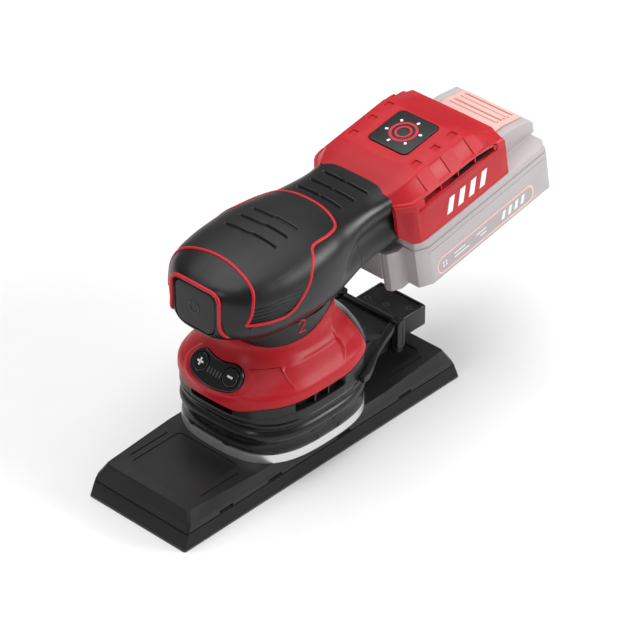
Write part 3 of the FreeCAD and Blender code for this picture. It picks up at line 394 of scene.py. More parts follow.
def tube_piece(name, points, radius, look, slot=None, closed=False, flat=1.0, sides=10, up=UP, **settings):
    """A round or flattened rod along points in millimetres; up is the way its flat side faces."""
    path = np.array(points, float)
    ahead = np.roll(path, -1, axis=0) - np.roll(path, 1, axis=0)
    if not closed:
        ahead[0], ahead[-1] = path[1] - path[0], path[-1] - path[-2]
    ahead = unit(ahead)
    lift = np.array(up, float) * np.ones((len(path), 1))
    lift = lift - ahead * np.sum(lift * ahead, axis=1)[:, None]
    weak = np.linalg.norm(lift, axis=1) < 1e-3
    lift[weak] = np.cross(ahead[weak], (1.0, 0.0, 0.0))
    lift = unit(lift)
    side = np.cross(ahead, lift)
    turns = np.arange(sides) * TAU / sides
    rows = (path[:, None, :] + radius * np.cos(turns)[None, :, None] * side[:, None, :]
            + radius * flat * np.sin(turns)[None, :, None] * lift[:, None, :])
    mesh = loop_of_rings(rows) if closed else ring_stack(rows)
    piece(name, mesh, look, slot, sharp=60, **settings)


def carve(ob, cuts=(), adds=(), bevel=0.0, segments=2, angle=32.0, tidy=0.0, crossing=True):
    """Cuts, joins and rounds a mesh object, and keeps the result as its mesh."""
    helpers = []
    new = ob.modifiers.new
    if tidy:
        set_all(new("weld", "WELD"), merge_threshold=WELD)
        set_all(new("flat", "DECIMATE"), decimate_type="DISSOLVE", angle_limit=math.radians(tidy))
    for operation, parts in (("UNION", adds), ("DIFFERENCE", cuts)):
        if parts:
            helpers.append(placed("cutter", mesh_data("cutter", *merged(parts), weld=False)))
            set_all(new("step", "BOOLEAN"), operation=operation, solver="EXACT", use_self=crossing,
                    object=helpers[-1])
    if bevel:
        set_all(new("soft", "BEVEL"), width=bevel * MM, segments=segments, limit_method="ANGLE",
                angle_limit=math.radians(angle), harden_normals=False, use_clamp_overlap=True)
    bpy.context.view_layer.update()
    graph = bpy.context.evaluated_depsgraph_get()
    data = bpy.data.meshes.new_from_object(ob.evaluated_get(graph), depsgraph=graph)
    ob.modifiers.clear()
    ob.data = data
    for helper in helpers:
        bpy.data.objects.remove(helper)


def rebuilt(node, name, sharp=38.0, bevel=0.3, tidy=0.4, **carving):
    """A new piece from a CAD node's shape, with details cut in and soft edges."""
    ob = placed(name, nodes[node].data.copy())
    carve(ob, bevel=bevel, tidy=tidy, **carving)
    ob.data.name = name
    dress(ob, SLOT_OF[node], None, BODY_OF[node], node, sharp)


def smooth(t):
    t = np.clip(t, 0.0, 1.0)
    return t * t * (3 - 2 * t)


def table_at(table, keys):
    """Rows of a table read smoothly at the given keys (its first column)."""
    table = np.array(table, float)
    known, values = table[:, 0], table[:, 1:]
    slopes = np.gradient(values, known, axis=0)
    keys = np.asarray(keys, float)
    i = np.clip(np.searchsorted(known, keys) - 1, 0, len(known) - 2)
    span = known[i + 1] - known[i]
    t = ((keys - known[i]) / span)[..., None]
    span = span[..., None]
    h00, h10 = 2 * t ** 3 - 3 * t ** 2 + 1, t ** 3 - 2 * t ** 2 + t
    h01, h11 = -2 * t ** 3 + 3 * t ** 2, t ** 3 - t ** 2
    return h00 * values[i] + h10 * span * slopes[i] + h01 * values[i + 1] + h11 * span * slopes[i + 1]


def curved(control, steps, corners=()):
    """A smooth line through points, which may turn sharply at the points numbered in corners."""
    known = np.array(control, float)
    t = (np.arange(steps) / steps)[:, None]
    last = len(known) - 1
    line = []
    for i in range(last):
        p1, p2 = known[i], known[i + 1]
        p0 = p1 if i in corners else known[max(i - 1, 0)]
        p3 = p2 if i + 1 in corners else known[min(i + 2, last)]
        line.append(0.5 * (2 * p1 + (p2 - p0) * t + (2 * p0 - 5 * p1 + 4 * p2 - p3) * t ** 2
                           + (3 * p1 - p0 - 3 * p2 + p3) * t ** 3))
    return np.concatenate(line + [known[-1:]])


def oval_radius(turn, half_a, half_b, power):
    c, s = np.abs(np.cos(turn)) / half_a, np.abs(np.sin(turn)) / half_b
    return (c ** power + s ** power) ** (-1.0 / power)


# ---- head and handle
TOP_HALF = 120.0                # height above which the grooves lie
# y, half width, lowest z, highest z, squareness
HEAD = (
    (-59.5, 15.8, 98.0, 126.6, 3.4), (-57.0, 20.5, 96.0, 128.6, 3.1), (-52.0, 26.5, 94.0, 131.2, 2.8),
    (-44.0, 31.5, 91.0, 134.0, 2.7), (-32.0, 35.0, 88.5, 136.2, 2.6), (-18.0, 36.3, 88.0, 137.6, 2.6),
    (-2.0, 36.3, 88.0, 138.6, 2.6), (12.0, 34.4, 88.0, 138.4, 2.6), (24.0, 31.2, 90.0, 137.4, 2.7),
    (36.0, 28.6, 94.0, 136.5, 3.1), (48.0, 27.2, 97.4, 135.8, 3.7), (60.0, 27.6, 100.0, 136.0, 4.4),
    (72.0, 28.2, 102.0, 136.6, 4.8),
)
# y and half length
HEAD_GROOVES = ((-20.0, 16.5), (-10.5, 15.5), (-2.0, 14.5))
HANDLE_GROOVES = ((30.0, 14.6), (40.0, 14.6), (50.0, 14.6))


def head_skin(y, turn):
    """Points on the head's skin; turn is the angle round the section, 90 degrees at the top."""
    half, low, high, power = np.moveaxis(table_at(HEAD, y), -1, 0)
    r = oval_radius(turn, half, (high - low) / 2, power)
    return np.stack([r * np.cos(turn), y + 0 * turn, (low + high) / 2 + r * np.sin(turn)], axis=-1)


def head_normal(y, turn):
    step = 1e-3
    along = head_skin(y + step, turn) - head_skin(y - step, turn)
    round_it = head_skin(y, turn + step) - head_skin(y, turn - step)
    return unit(np.cross(along, round_it))


def head_turn(point):
    """The angle round its section at which a point near the skin lies."""
    _, low, high, _ = table_at(HEAD, point[1])
    return math.atan2(point[2] - (low + high) / 2, point[0])


def grooves(points, rows, size=1.35):
    """Depth of the slanting finger grooves at each point; size is their depth and half width."""
    x, y = points[..., 0], points[..., 1]
    total = np.zeros_like(x)
    for y0, half_length in rows:
        line = y0 + 0.55 * np.tanh(x / 1.5)
        apart = np.hypot(np.maximum(np.abs(x) - half_length, 0.0), y - line)
        total = np.maximum(total, size * smooth((size - apart) / (0.55 * size)))
    return np.where(points[..., 2] > TOP_HALF, total, 0.0)


def hollow(points):
    """Depth of the long finger hollow in each side of the handle."""
    y, z = points[..., 1], points[..., 2]
    start = 27.0 - 0.95 * (126.0 - z)
    centre = 117.5 + 0.05 * (y - 40)
    along = smooth((y - start) / 11.0) * smooth((76.0 - y) / 8.0)
    tall = smooth(1.0 - np.abs(z - centre) / 10.5)
    return 3.0 * along * tall


# One side of the seam round the palm pad, from the top rear to the top front, as points near the skin
SEAM = (
    (0.0, 23.8, 137.4), (7.0, 23.5, 137.0), (15.1, 22.2, 136.0), (22.5, 19.0, 133.4), (25.6, 11.0, 133.1),
    (26.9, -1.7, 133.2), (31.5, -6.6, 129.4), (34.6, -11.0, 124.4), (35.9, -14.7, 119.6), (36.0, -22.7, 111.8),
    (35.4, -27.7, 109.1), (34.8, -31.5, 108.1), (27.1, -51.1, 109.2), (28.2, -48.8, 115.0), (28.6, -47.5, 120.5),
    (25.8, -45.1, 127.2), (13.9, -43.4, 133.0), (7.0, -42.5, 134.0), (0.0, -42.1, 134.3),
)
SEAM_CORNERS = (11, 12)         # the front tip is sharp
RIGHT_SEAM = curved([(p[1], head_turn(p)) for p in SEAM], 8, SEAM_CORNERS)
LEFT_SEAM = np.stack([RIGHT_SEAM[:, 0], math.pi - RIGHT_SEAM[:, 1]], axis=-1)[::-1]
WHOLE_SEAM = np.concatenate([RIGHT_SEAM[:-1], LEFT_SEAM[:-1]])


def in_seam(y, turn):
    """Whether points (y, turn) lie inside the seam."""
    inside = np.zeros(np.broadcast(y, turn).shape, bool)
    for a, b in zip(WHOLE_SEAM, np.roll(WHOLE_SEAM, -1, axis=0)):
        if a[0] == b[0]:
            continue
        crosses = (y < a[0]) != (y < b[0])
        at = a[1] + (y - a[0]) * (b[1] - a[1]) / (b[0] - a[0])
        inside ^= crosses & (turn < at)
    return inside


def even_turns(y, start, end, count):
    """Angles from start to end, evenly spaced along the section's outline."""
    fine = np.linspace(start, end, 400)
    points = head_skin(np.full(len(fine), y), fine)
    length = np.concatenate([[0], np.cumsum(np.linalg.norm(np.diff(points, axis=0), axis=1))])
    return np.interp(np.linspace(0, length[-1], count), length, fine)


def floor_turn(y):
    """The angle at which the skin meets the flat top of the collar, or its lowest point."""
    half, low, high, power = table_at(HEAD, y)
    if low >= COLLAR_TOP:
        return -math.pi / 2
    fine = np.linspace(-math.pi / 2, 0, 2000)
    z = head_skin(np.full(len(fine), y), fine)[:, 2]
    return float(np.interp(COLLAR_TOP, z, fine))


button_low, button_high = box_mm("power_button")
BUTTON_X = button_high[0] + 0.8
BUTTON_FACE = button_low[1] + 0.4
BUTTON_BOTTOM, BUTTON_TOP = button_low[2], button_high[2]
BUTTON_POCKET, BUTTON_ROOT = 52.4, 54.6       # how far in front of the origin the pocket and the cap start
CORNER = 4.6


def button_shape(amount=0.0):
    """Front view of the button: round upper corners and a narrower lower end."""
    half, low, high = BUTTON_X + amount, BUTTON_BOTTOM - amount, BUTTON_TOP + amount
    upper = [point for side, start in ((1, 0), (-1, 90))
             for point in arc_points(side * (half - CORNER), high - CORNER, CORNER, start, start + 90, 6)]
    left = [(-half, low + 8.0), (-half + 0.7, low + 4.2), (-half + 2.4, low + 1.4), (-half + 5.0, low)]
    return upper + left + [(-x, z) for x, z in reversed(left)]


def to_front(x, z, out):
    return np.array((x, -out, z))


HEAD_FRONT, HEAD_REAR = HEAD[0][0], HEAD[-1][0]
HEAD_POINTS = 150               # round each half section
SPLIT = 0.04                    # from the middle to each half
PALM_RECESS = 1.1               # how far the shell sinks under the palm pad


def head_rows():
    """Stations along the head, closer together at the grooves."""
    rows = [HEAD_FRONT, HEAD_FRONT + 0.4]
    y = HEAD_FRONT + 1.1
    while y < HEAD_REAR:
        rows.append(y)
        fine = any(abs(y - g[0]) < 3.2 for g in HEAD_GROOVES + HANDLE_GROOVES)
        y += 0.32 if fine else 0.9
    return rows + [HEAD_REAR]


def head_half(side, name, node):
    rows = []
    for y in head_rows():
        turns = even_turns(y, math.pi / 2, floor_turn(y), HEAD_POINTS)
        skin = head_skin(np.full(HEAD_POINTS, y), turns)
        sink = grooves(skin, HANDLE_GROOVES) + hollow(skin) + PALM_RECESS * in_seam(skin[:, 1], turns)
        skin = skin - head_normal(skin[:, 1], turns) * sink[:, None]
        skin[:, 0] = np.maximum(skin[:, 0], SPLIT)
        foot = skin[-1]
        base = [(x, y, foot[2]) for x in np.linspace(foot[0], SPLIT, 8)[1:]]
        rows.append(np.concatenate([skin, base]))
    rows = np.array(rows)
    rows[..., 0] *= side
    centre = np.array((SPLIT * side, HEAD_FRONT, sum(HEAD[0][2:4]) / 2))
    front = centre + (rows[:1] - centre) * 0.95
    front[..., 1] = HEAD_FRONT - 0.3
    pocket = prism(button_shape(0.3), BUTTON_POCKET, 64.0, to_front)
    piece(name, ring_stack(np.concatenate([front, rows])), "black_shell", replaces=node, sharp=42, cuts=[pocket],
          crossing=False)


head_half(1, "head_right_shell", "head_shell_right")
head_half(-1, "head_left_shell", "head_shell_left")


def ribs(points):
    """The ribbed thumb rest low on each side of the palm pad."""
    y, z = points[..., 1], points[..., 2]
    upper = 119.0 + 0.10 * (y + 45)
    zone = smooth((upper - z) / 0.9) * smooth((-14.0 - y) / 16.0)
    wave = 0.5 + 0.5 * np.cos((z - 108.0) * TAU / 2.0)
    return zone * (0.45 + 0.42 * wave)


def palm_skin():
    rim, top = math.radians(-14), math.radians(30)
    turns = np.concatenate([np.linspace(rim, top, 110), np.linspace(top, math.pi - top, 220)[1:],
                            np.linspace(math.pi - top, math.pi - rim, 110)[1:]])
    y, turn = np.meshgrid(np.arange(-51.6, 24.4, 0.38), turns, indexing="ij")
    skin, normal = head_skin(y, turn), head_normal(y, turn)
    lift = 0.22 - grooves(skin, HEAD_GROOVES) - ribs(skin)
    keep = in_seam((y[:-1, :-1] + y[1:, 1:]) / 2, (turn[:-1, :-1] + turn[1:, 1:]) / 2)
    sheet = masked_sheet(skin + normal * lift[..., None], skin - normal * 1.6, keep)
    piece("palm_pad_skin", sheet, "soft_grip", replaces="palm_pad", sharp=50)


PIPING, SURROUND, MARK = 0.86, 1.05, 0.42         # radii of the red piping, the button's surround and drawn marks
palm_skin()
seam_y, seam_turn = WHOLE_SEAM[:, 0], WHOLE_SEAM[:, 1]
seam_up = head_normal(seam_y, seam_turn)
tube_piece("palm_pad_piping", head_skin(seam_y, seam_turn) + seam_up * 0.12, PIPING, "piping_red", "red_shell",
           closed=True, flat=0.62, up=seam_up)


# ---- power button and its red surround
piece("power_button_cap", pillow(button_shape(-0.1), BUTTON_ROOT, -BUTTON_FACE - 0.3, 0.9, to_front, crown=0.3),
      "button_black", body="power_button", replaces="power_button")
MARK_Y, MARK_Z = BUTTON_FACE - 0.02, BUTTON_BOTTOM + 13.0
ring_points = [(x, MARK_Y, z) for x, z in arc_points(0.0, MARK_Z, 3.4, 125, 415, 39)]
bar_points = [(0, MARK_Y, MARK_Z + z) for z in np.linspace(0.2, 4.4, 6)]
for name, points in (("power_mark_ring", ring_points), ("power_mark_bar", bar_points)):
    tube_piece(name, points, MARK, "mark_black", "button_black", flat=0.6, up=FORWARD, body="power_button")


def surround_path():
    """Up one side of the button, over its top and down the other, with legs down to the shroud."""
    half, front, top = BUTTON_X + 2.6, HEAD_FRONT + 0.1, BUTTON_TOP + 0.8
    leg = [(half + 2.6, -53.6, 101.2), (half + 2.4, -55.0, 100.9), (half + 1.8, -57.2, 102.2),
           (half + 0.9, -58.8, 104.6), (half + 0.2, front - 0.1, 107.8), (half, front, 112.0), (half, front, 119.0)]
    arc = [(x, front, z) for x, z in arc_points(half - 5.6, top - 4.8, 5.6, 0, 90, 8)[1:-1]]
    right = leg + arc + [(half - 6.5, front, top + 0.8), (2.0, front, top + 0.9)]
    return curved(right + [(-x, y, z) for x, y, z in reversed(right)], 5)


tube_piece("button_surround", surround_path(), SURROUND, "piping_red", "red_shell", sides=12, up=FORWARD,
           replaces="switch_bezel")


# ---- shroud, rear housing and collar
WALL = 2.6
WALL_GAP = 0.05
# z, half width, front y, rear y, squareness
SHROUD = (
    (52.6, 41.3, -51.5, 43.0, 2.9), (56.0, 41.3, -51.5, 43.0, 2.9), (60.0, 40.7, -51.1, 43.0, 2.9),
    (64.0, 38.3, -48.6, 42.0, 2.8), (70.0, 33.0, -43.4, 39.0, 2.5), (74.0, 29.4, -40.6, 35.4, 2.3),
    (79.0, 27.2, -38.6, 32.4, 2.1), (86.0, 27.6, -39.9, 32.6, 2.1), (93.0, 28.2, -41.5, 33.0, 2.1),
)
# z and y of the edge between the red shroud and the black housing behind it
WING = ((49.0, 30.5), (60.0, 31.5), (67.0, 31.3), (73.0, 30.0), (79.0, 27.0), (85.0, 22.5), (95.0, 18.0))


def shroud_point(z, turn, inset=0.0):
    half, front, rear, power = np.moveaxis(table_at(SHROUD, np.clip(z, SHROUD[0][0], SHROUD[-1][0])), -1, 0)
    r = oval_radius(turn, half, (rear - front) / 2, power) - inset
    return np.stack([r * np.cos(turn), (front + rear) / 2 + r * np.sin(turn), z + 0 * turn], axis=-1)


def wing_turn(z):
    """The angle, from the right side towards the rear, where the red shroud ends at a height."""
    edge = np.interp(z, *zip(*WING))
    low, high = np.full_like(edge, -0.4), np.full_like(edge, 1.5)
    for _ in range(30):
        mid = (low + high) / 2
        ahead = shroud_point(z, mid)[..., 1] < edge
        low, high = np.where(ahead, mid, low), np.where(ahead, high, mid)
    return (low + high) / 2


# degrees from the right side and height of the joint between shroud and collar
JOINT = ((-90.0, 88.4), (-83.0, 87.2), (-74.6, 85.1), (-63.0, 82.2), (-50.9, 80.4), (-37.5, 79.7), (-21.6, 80.0),
         (-10.0, 80.4), (-2.1, 81.1), (5.0, 82.0), (11.8, 83.3), (24.8, 86.4), (38.0, 88.4), (60.0, 89.6),
         (90.0, 90.0))


def joint_z(turn):
    return table_at(JOINT, to_right(turn))[..., 0]


def to_right(turn):
    """Degrees from the right side, with the left half mirrored on to the right."""
    return np.degrees(np.arctan2(np.sin(turn), np.abs(np.cos(turn))))


def shroud_edge(turn):
    """Height of the red shroud's scalloped lower edge."""
    degrees = to_right(turn)
    return 50.6 + 4.2 * smooth((degrees + 72.0) / 24.0) + 1.6 * smooth((degrees - 18.0) / 20.0)


KEY_Y, KEY_Z = -45.4, 63.0      # where the keypad's middle lies
KEY_TILT = math.radians(42)
KEY_BEND = 30.0                 # radius of the keypad's centre line
KEYPAD_HALF = 20.5              # half its sweep, in degrees
KEYPAD_EDGE = 7.8               # from its centre line to its edge


def between(value, low, high, soft_low, soft_high):
    """1 between two limits, falling smoothly to 0 at them."""
    return smooth((value - low) / soft_low) * smooth((high - value) / soft_high)


def facets(z, turn):
    """Depth of the flat facets and the hollow that shape the shroud's shoulder."""
    degrees = to_right(turn)
    left = np.interp(z, (63.4, 66.6, 69.5, 73.7), (-63.4, -62.4, -64.5, -70.0))
    right = np.interp(z, (62.0, 63.5, 66.6, 70.7), (-30.8, -32.4, -36.6, -41.0))
    front = (0.2 + 1.25 * np.clip((z - 62) / 9, 0, 1)) * between(degrees, left, right, 3.6, 1.3)
    front = front * smooth((71.5 - z) / 0.55) * smooth((z - 60.5) / 3)
    left = np.interp(z, (62.0, 63.5, 66.6, 70.7, 72.0, 79.0), (-31.2, -32.8, -37.0, -41.4, -44.0, -48.0))
    right = np.interp(z, (62.0, 64.4, 67.2, 71.7, 79.0), (19.0, 21.6, 25.5, 27.5, 35.0))
    sharp = np.interp(z, (69.5, 72.5), (1.3, 10.0))
    side = np.interp(z, (60.8, 62, 70, 71.6, 75, 80), (0, 0.15, 1.85, 1.1, 0.5, 0))
    side = side * between(degrees, left, right, sharp, 2.6) * (0.42 + 0.58 * smooth((degrees + 38) / 26))
    crease = np.interp(z, (60, 64.4, 67.2, 71.6, 76.7, 82.6, 90), (18, 21.6, 25.5, 27.5, 34.4, 38, 42)) + 0.6
    outer = np.degrees(wing_turn(z))
    wing = 2.2 * between(degrees, crease, outer - 1.0, 1.3, 13.0) * between(z, 61.5, 89.0, 5.0, 7.0)
    return front + side + wing


def key_lip(points):
    """A low raised lip round the keypad's lower side."""
    c, s = math.cos(KEY_TILT), math.sin(KEY_TILT)
    x, y, z = points[..., 0], points[..., 1] - KEY_Y, points[..., 2] - KEY_Z
    up = y * c + z * s
    angle = np.clip(np.arctan2(x, KEY_BEND - up), -math.radians(KEYPAD_HALF), math.radians(KEYPAD_HALF))
    apart = np.hypot(x - KEY_BEND * np.sin(angle), up - KEY_BEND + KEY_BEND * np.cos(angle)) - KEYPAD_EDGE
    return 0.75 * np.exp(-((apart - 1.3) / 1.7) ** 2) * smooth((4.0 - up) / 6.0)


def wall_rows(turn_at, floor_at, guess, gap, count):
    """For each row down a wall below the collar: how far down it is, and its points' heights and angles."""
    top = guess
    for _ in range(8):
        top = joint_z(turn_at(top))
    top = top - gap
    for down in np.linspace(0, 1, count):
        z = top
        for _ in range(3):
            turn = turn_at(z)
            z = top + (floor_at(turn) - top) * down
        yield down, z, turn


def red_shroud():
    ends = np.array([0.0, 0.0008, 0.002, 0.0036, 0.0056])
    shares = np.concatenate([ends, np.linspace(0.008, 0.992, 420), 1 - ends[::-1]])
    rim = 1.1 * (1 - smooth(np.minimum(shares, 1 - shares) / ends[-1])) ** 2

    def turn_at(z):
        span = wing_turn(z)
        return span - shares * (2 * span + math.pi)

    outer, inner = [], []
    for down, z, turn in wall_rows(turn_at, shroud_edge, np.full(len(shares), 84.0), WALL_GAP, 96):
        sink = facets(z, turn) - key_lip(shroud_point(z, turn)) + 0.6 * smooth((down - 0.985) / 0.015) + rim
        outer.append(shroud_point(z, turn, sink))
        inner.append(shroud_point(z, turn, WALL))
    opening = prism(kidney(2 * KEYPAD_EDGE + 0.1), -1.6, 14.0, key_frame)
    piece("red_shroud", thick_sheet(outer, inner), "red_shell", replaces="base_shroud",
          sharp=24, cuts=[opening])


def key_frame(x, y, h):
    """A point of the keypad: across, up the slope and out of it."""
    c, s = math.cos(KEY_TILT), math.sin(KEY_TILT)
    return np.array((x, KEY_Y + y * c - h * s, KEY_Z + y * s + h * c))


def kidney(width):
    """A bean outline, hollow side up the slope."""
    half, swing = width / 2, math.radians(KEYPAD_HALF)
    side, rise = KEY_BEND * math.sin(swing), KEY_BEND - KEY_BEND * math.cos(swing)
    right, left = -90 + KEYPAD_HALF, -90 - KEYPAD_HALF
    lower = arc_points(0.0, KEY_BEND, KEY_BEND + half, left, right, 16)
    upper = arc_points(0.0, KEY_BEND, KEY_BEND - half, right, left, 16)
    right_end = arc_points(side, rise, half, right, right + 180, 10)[1:-1]
    left_end = arc_points(-side, rise, half, left + 180, left + 360, 10)[1:-1]
    return lower + right_end + upper + left_end


SEAM_TURN = 0.006               # between the red shroud and the housing behind it


def rear_shell():
    shares = np.linspace(0, 1, 150)

    def turn_at(z):
        span = wing_turn(z) + SEAM_TURN
        return span + shares * (math.pi - 2 * span)

    rows = list(wall_rows(turn_at, lambda turn: SHROUD[0][0], np.full(len(shares), 86.0), 0.0, 70))
    outer = [shroud_point(z, turn, 0.15) for _, z, turn in rows]
    inner = [shroud_point(z, turn, WALL) for _, z, turn in rows]
    piece("rear_motor_shell", thick_sheet(outer, inner), "black_shell", replaces="rear_housing")


def collar_band():
    turns = np.linspace(0, TAU, 240, endpoint=False)
    low = joint_z(turns)
    high = COLLAR_TOP - WALL_GAP
    profile = ((0.0, 0.5), (0.02, 0.15), (0.06, 0.1), (0.35, 0.1), (0.6, 0.1), (0.88, 0.1), (0.915, 0.18),
               (0.93, 0.4), (0.935, 1.4), (1.0, 1.4))
    outer = [shroud_point(low + (high - low) * share, turns, inset) for share, inset in profile]
    inner = [shroud_point(low + (high - low) * share, turns, WALL) for share, _ in profile]
    piece("collar_band", loop_of_rings(outer + inner[::-1]), "black_shell", replaces="collar")


red_shroud()
rear_shell()
collar_band()


NUMBER_TURN, NUMBER_Z = math.radians(-13.4), 88.6
COLLAR_RADIUS, SHROUD_MIDDLE = 29.0, -4.0
TWO = ((-1.7, 1.6), (-1.5, 2.7), (-0.6, 3.3), (0.6, 3.2), (1.5, 2.5), (1.6, 1.4), (1.0, 0.3), (-0.2, -1.1),
       (-1.2, -2.2), (-1.8, -3.1), (-0.6, -3.15), (0.8, -3.15), (1.9, -3.15))
across, up = curved(TWO, 4).T
two_points = shroud_point(NUMBER_Z + 1.2 * up, NUMBER_TURN + 1.15 * across / COLLAR_RADIUS, -0.05)
two_up = (two_points - (0, SHROUD_MIDDLE, 0)) * (1, 1, 0)
tube_piece("collar_number", two_points, MARK, "piping_red", "red_shell", flat=0.45, up=two_up)


# ---- vent ring, boot and rim
def ring_point(z, turn, inset=0.0):
    r = oval_radius(turn, RING_X, RING_Y, RING_POWER) - inset
    return np.stack([r * np.cos(turn), MOTOR_Y + r * np.sin(turn), z + 0 * turn], axis=-1)


# degrees round the ring, 0 at the right side
WINDOWS = ((-108.0, -72.0), (-31.0, 15.5), (164.5, 211.0))
FINS = (-106.5, -14.5, -1.0, 194.5, 181.0)
SILL = ((-70, -35), (46.9, 49.6))      # degrees from the right side and height of the windows' lower edge
RING_WALL, BOOT_WALL = 6.4, 6.8
RECESS = 4.2                    # depth of the windows
BAND_REAR = 47.0                # degrees from the right side beyond which the band has no window


def ring_band(rows, turns, inner_inset):
    """A band round the motor; rows give a height and a distance in from the ring's outline."""
    outer = [ring_point(z, turns, inset) for z, inset in rows]
    inner = [ring_point(z, turns, inner_inset) for z, _ in rows]
    return loop_of_rings(outer + inner[::-1])


def ring_block(degrees, inset, depth, half_width, low, high):
    """A small block reaching inwards from near the ring's outline."""
    turn = math.radians(degrees)
    out = ring_point(0.0, np.array(turn), inset)[:2]
    ahead = np.array((math.cos(turn), math.sin(turn)))
    side = np.array((-ahead[1], ahead[0])) * half_width
    back = out - ahead * depth
    return prism([out + side, back + side, back - side, out - side], low, high)


def window_share(turn):
    """1 inside the vent windows and 0 between them."""
    degrees = np.degrees(turn)
    inside = [np.minimum(degrees - first - shift, last + shift - degrees) for first, last in WINDOWS
              for shift in (-360, 0, 360)]
    return np.clip(np.max(inside, axis=0) / 0.8, 0, 1)


def vent_band():
    """The black band between boot and shroud, with windows over a sill and fins in them."""
    turns = np.linspace(-math.pi, math.pi, 480, endpoint=False)
    share = window_share(turns)
    edge = np.where(to_right(turns) > BAND_REAR, 52.4, shroud_edge(turns) - 0.1)
    sill = np.interp(to_right(turns), *SILL)
    swell = -0.25 * share
    rows = [(44.15 + 0 * edge, 0.9 + swell), (44.3 + 0 * edge, 0.4 + swell), (44.8 + 0 * edge, 0.1 + swell),
            (sill - 0.7, 0.1 + swell), (sill - 0.2, 0.25 + swell), (sill, 0.1 + 0.8 * share),
            (sill + 0.25, 0.1 + RECESS * share), (edge - 0.3, 0.1 + RECESS * share), (edge, 0.5 + 3.8 * share),
            (edge + 0.5, 1.6 + 2.7 * share), (edge + 4.5, 4.3 + 0 * share)]
    fins = []
    for degrees in FINS:
        turn = math.radians(degrees)
        fins.append(ring_block(degrees, 0.9, 4.5, 0.4, np.interp(to_right(turn), *SILL), shroud_edge(turn) + 0.3))
    piece("vent_band", merged([ring_band(rows, turns, RING_WALL)] + fins), "black_shell", replaces="vent_ring",
          sharp=30)


# z and distance in from the ring's outline
BOOT_PROFILE = (
    (44.0, 1.9), (43.7, 1.0), (43.2, 0.55), (42.6, 0.4), (41.9, 0.45), (41.2, 0.75), (40.5, 1.35), (39.8, 1.8),
    (39.1, 1.75), (38.4, 1.25), (37.7, 0.65), (36.9, 0.2), (36.0, -0.02), (35.1, -0.05), (34.2, 0.1), (33.3, 0.45),
    (32.4, 0.9), (31.6, 1.4), (30.9, 1.85), (30.2, 2.05), (29.2, 2.0), (28.2, 1.75), (27.3, 1.45), (26.5, 1.2),
    (25.8, 1.15), (25.2, 1.5),
)


def boot_bellows():
    """The rubber boot, with small clips along its lower edge."""
    turns = np.linspace(-math.pi, math.pi, 260, endpoint=False)
    clips = [ring_block(degrees, 0.75, 2.5, 2.0, 25.3, 26.4) for degrees in (-112, -78, -45, -14, 12, 168, 194)]
    boot = ring_band(BOOT_PROFILE, turns, BOOT_WALL)
    piece("boot_bellows", merged([boot] + clips), "boot_rubber", replaces="boot", sharp=60)


vent_band()
boot_bellows()
rebuilt("pad_base", "bright_rim", bevel=0.35, tidy=0.0)


# ---- pad
PLATE_TOP = box_mm("top_plate")[1][2]


def plate_cuts():
    """Shallow fields at both ends of the plate, with a slit on each side of them."""
    cuts = []
    for sign in (-1, 1):
        field = rounded(-21.5, 21.5, sign * 52.0, sign * 88.0, 3.0)
        cuts.append(prism(field, PLATE_TOP - 0.45, PLATE_TOP + 1))
        for side in (-1, 1):
            cuts.append(slab(side * 25.2, side * 26.0, sign * 57.0, sign * 84.0, PLATE_TOP - 0.5, PLATE_TOP + 1))
    return cuts


rebuilt("top_plate", "pad_plate", cuts=plate_cuts(), bevel=0.25, tidy=0.3, sharp=14.0, angle=16.0)
rebuilt("foam_layer", "pad_foam_body", bevel=0.5)
rebuilt("hook_layer", "pad_hook_facing", bevel=0.25)


# ---- keypad
KEY_X = abs(middle("plus_key")[0])
KEY_UP = KEY_BEND - math.sqrt(KEY_BEND ** 2 - KEY_X ** 2)


def key_face(x, y, h):
    """Keypad frame whose face leans with the shroud, so that its upper side stands higher."""
    return key_frame(x, y, h + (0.13 * (y + KEYPAD_EDGE) if h > 0 else 0.0))


def lamp_bars(grow, low, high):
    """The five level lights, or the openings for them."""
    half = 0.42 + grow
    return [prism(rounded(x - half, x + half, -1.5 - grow, 1.9 + grow, 0.3, 3), low, high, key_face)
            for x in (-4.2, -2.1, 0.0, 2.1, 4.2)]


wells = [prism(circle(x, KEY_UP, 5.45), -0.6, 6.0, key_face) for x in (-KEY_X, KEY_X)]
piece("keypad_panel", pillow(kidney(2 * KEYPAD_EDGE - 0.4), -2.6, 1.7, 0.9, key_face, crown=0.25), "keypad_black",
      replaces="keypad_frame", sharp=30, cuts=wells + lamp_bars(0.12, 0.9, 6.0))
# name, place and half sizes of the bars of its sign
KEYS = (("plus", -KEY_X, ((2.1, 0.55), (0.55, 2.1))), ("minus", KEY_X, ((1.9, 0.55),)))
for name, x, _ in KEYS:
    piece(name + "_key_cap", pillow(circle(x, KEY_UP, 5.1), 0.5, 2.25, 0.7, key_face, crown=0.15), "keypad_black",
          body=name + "_key", replaces=name + "_key")
piece("level_lamps", merged(lamp_bars(0.0, 0.5, 1.85)), "lamp_clear", replaces="level_lights")
for name, x, bars in KEYS:
    outlines = [rounded(x - a, x + a, KEY_UP - b, KEY_UP + b, 0.3, 3) for a, b in bars]
    piece(name + "_mark", merged([pillow(outline, 2.1, 2.52, 0.12, key_face) for outline in outlines]),
          "print_white", "keypad_black", name + "_key")


# ---- rear cover
def side_place(side):
    """Turns (along, up, out) into a point on one side of the cover or the battery."""
    return lambda a, b, h: dock(side * h, a, b)


SIDES = (side_place(-1), side_place(1))
SLOT_TALL, SLOT_FRONT, SLOT_REAR = 3.9, 12.0, 66.0
COVER_LOW = 3.0
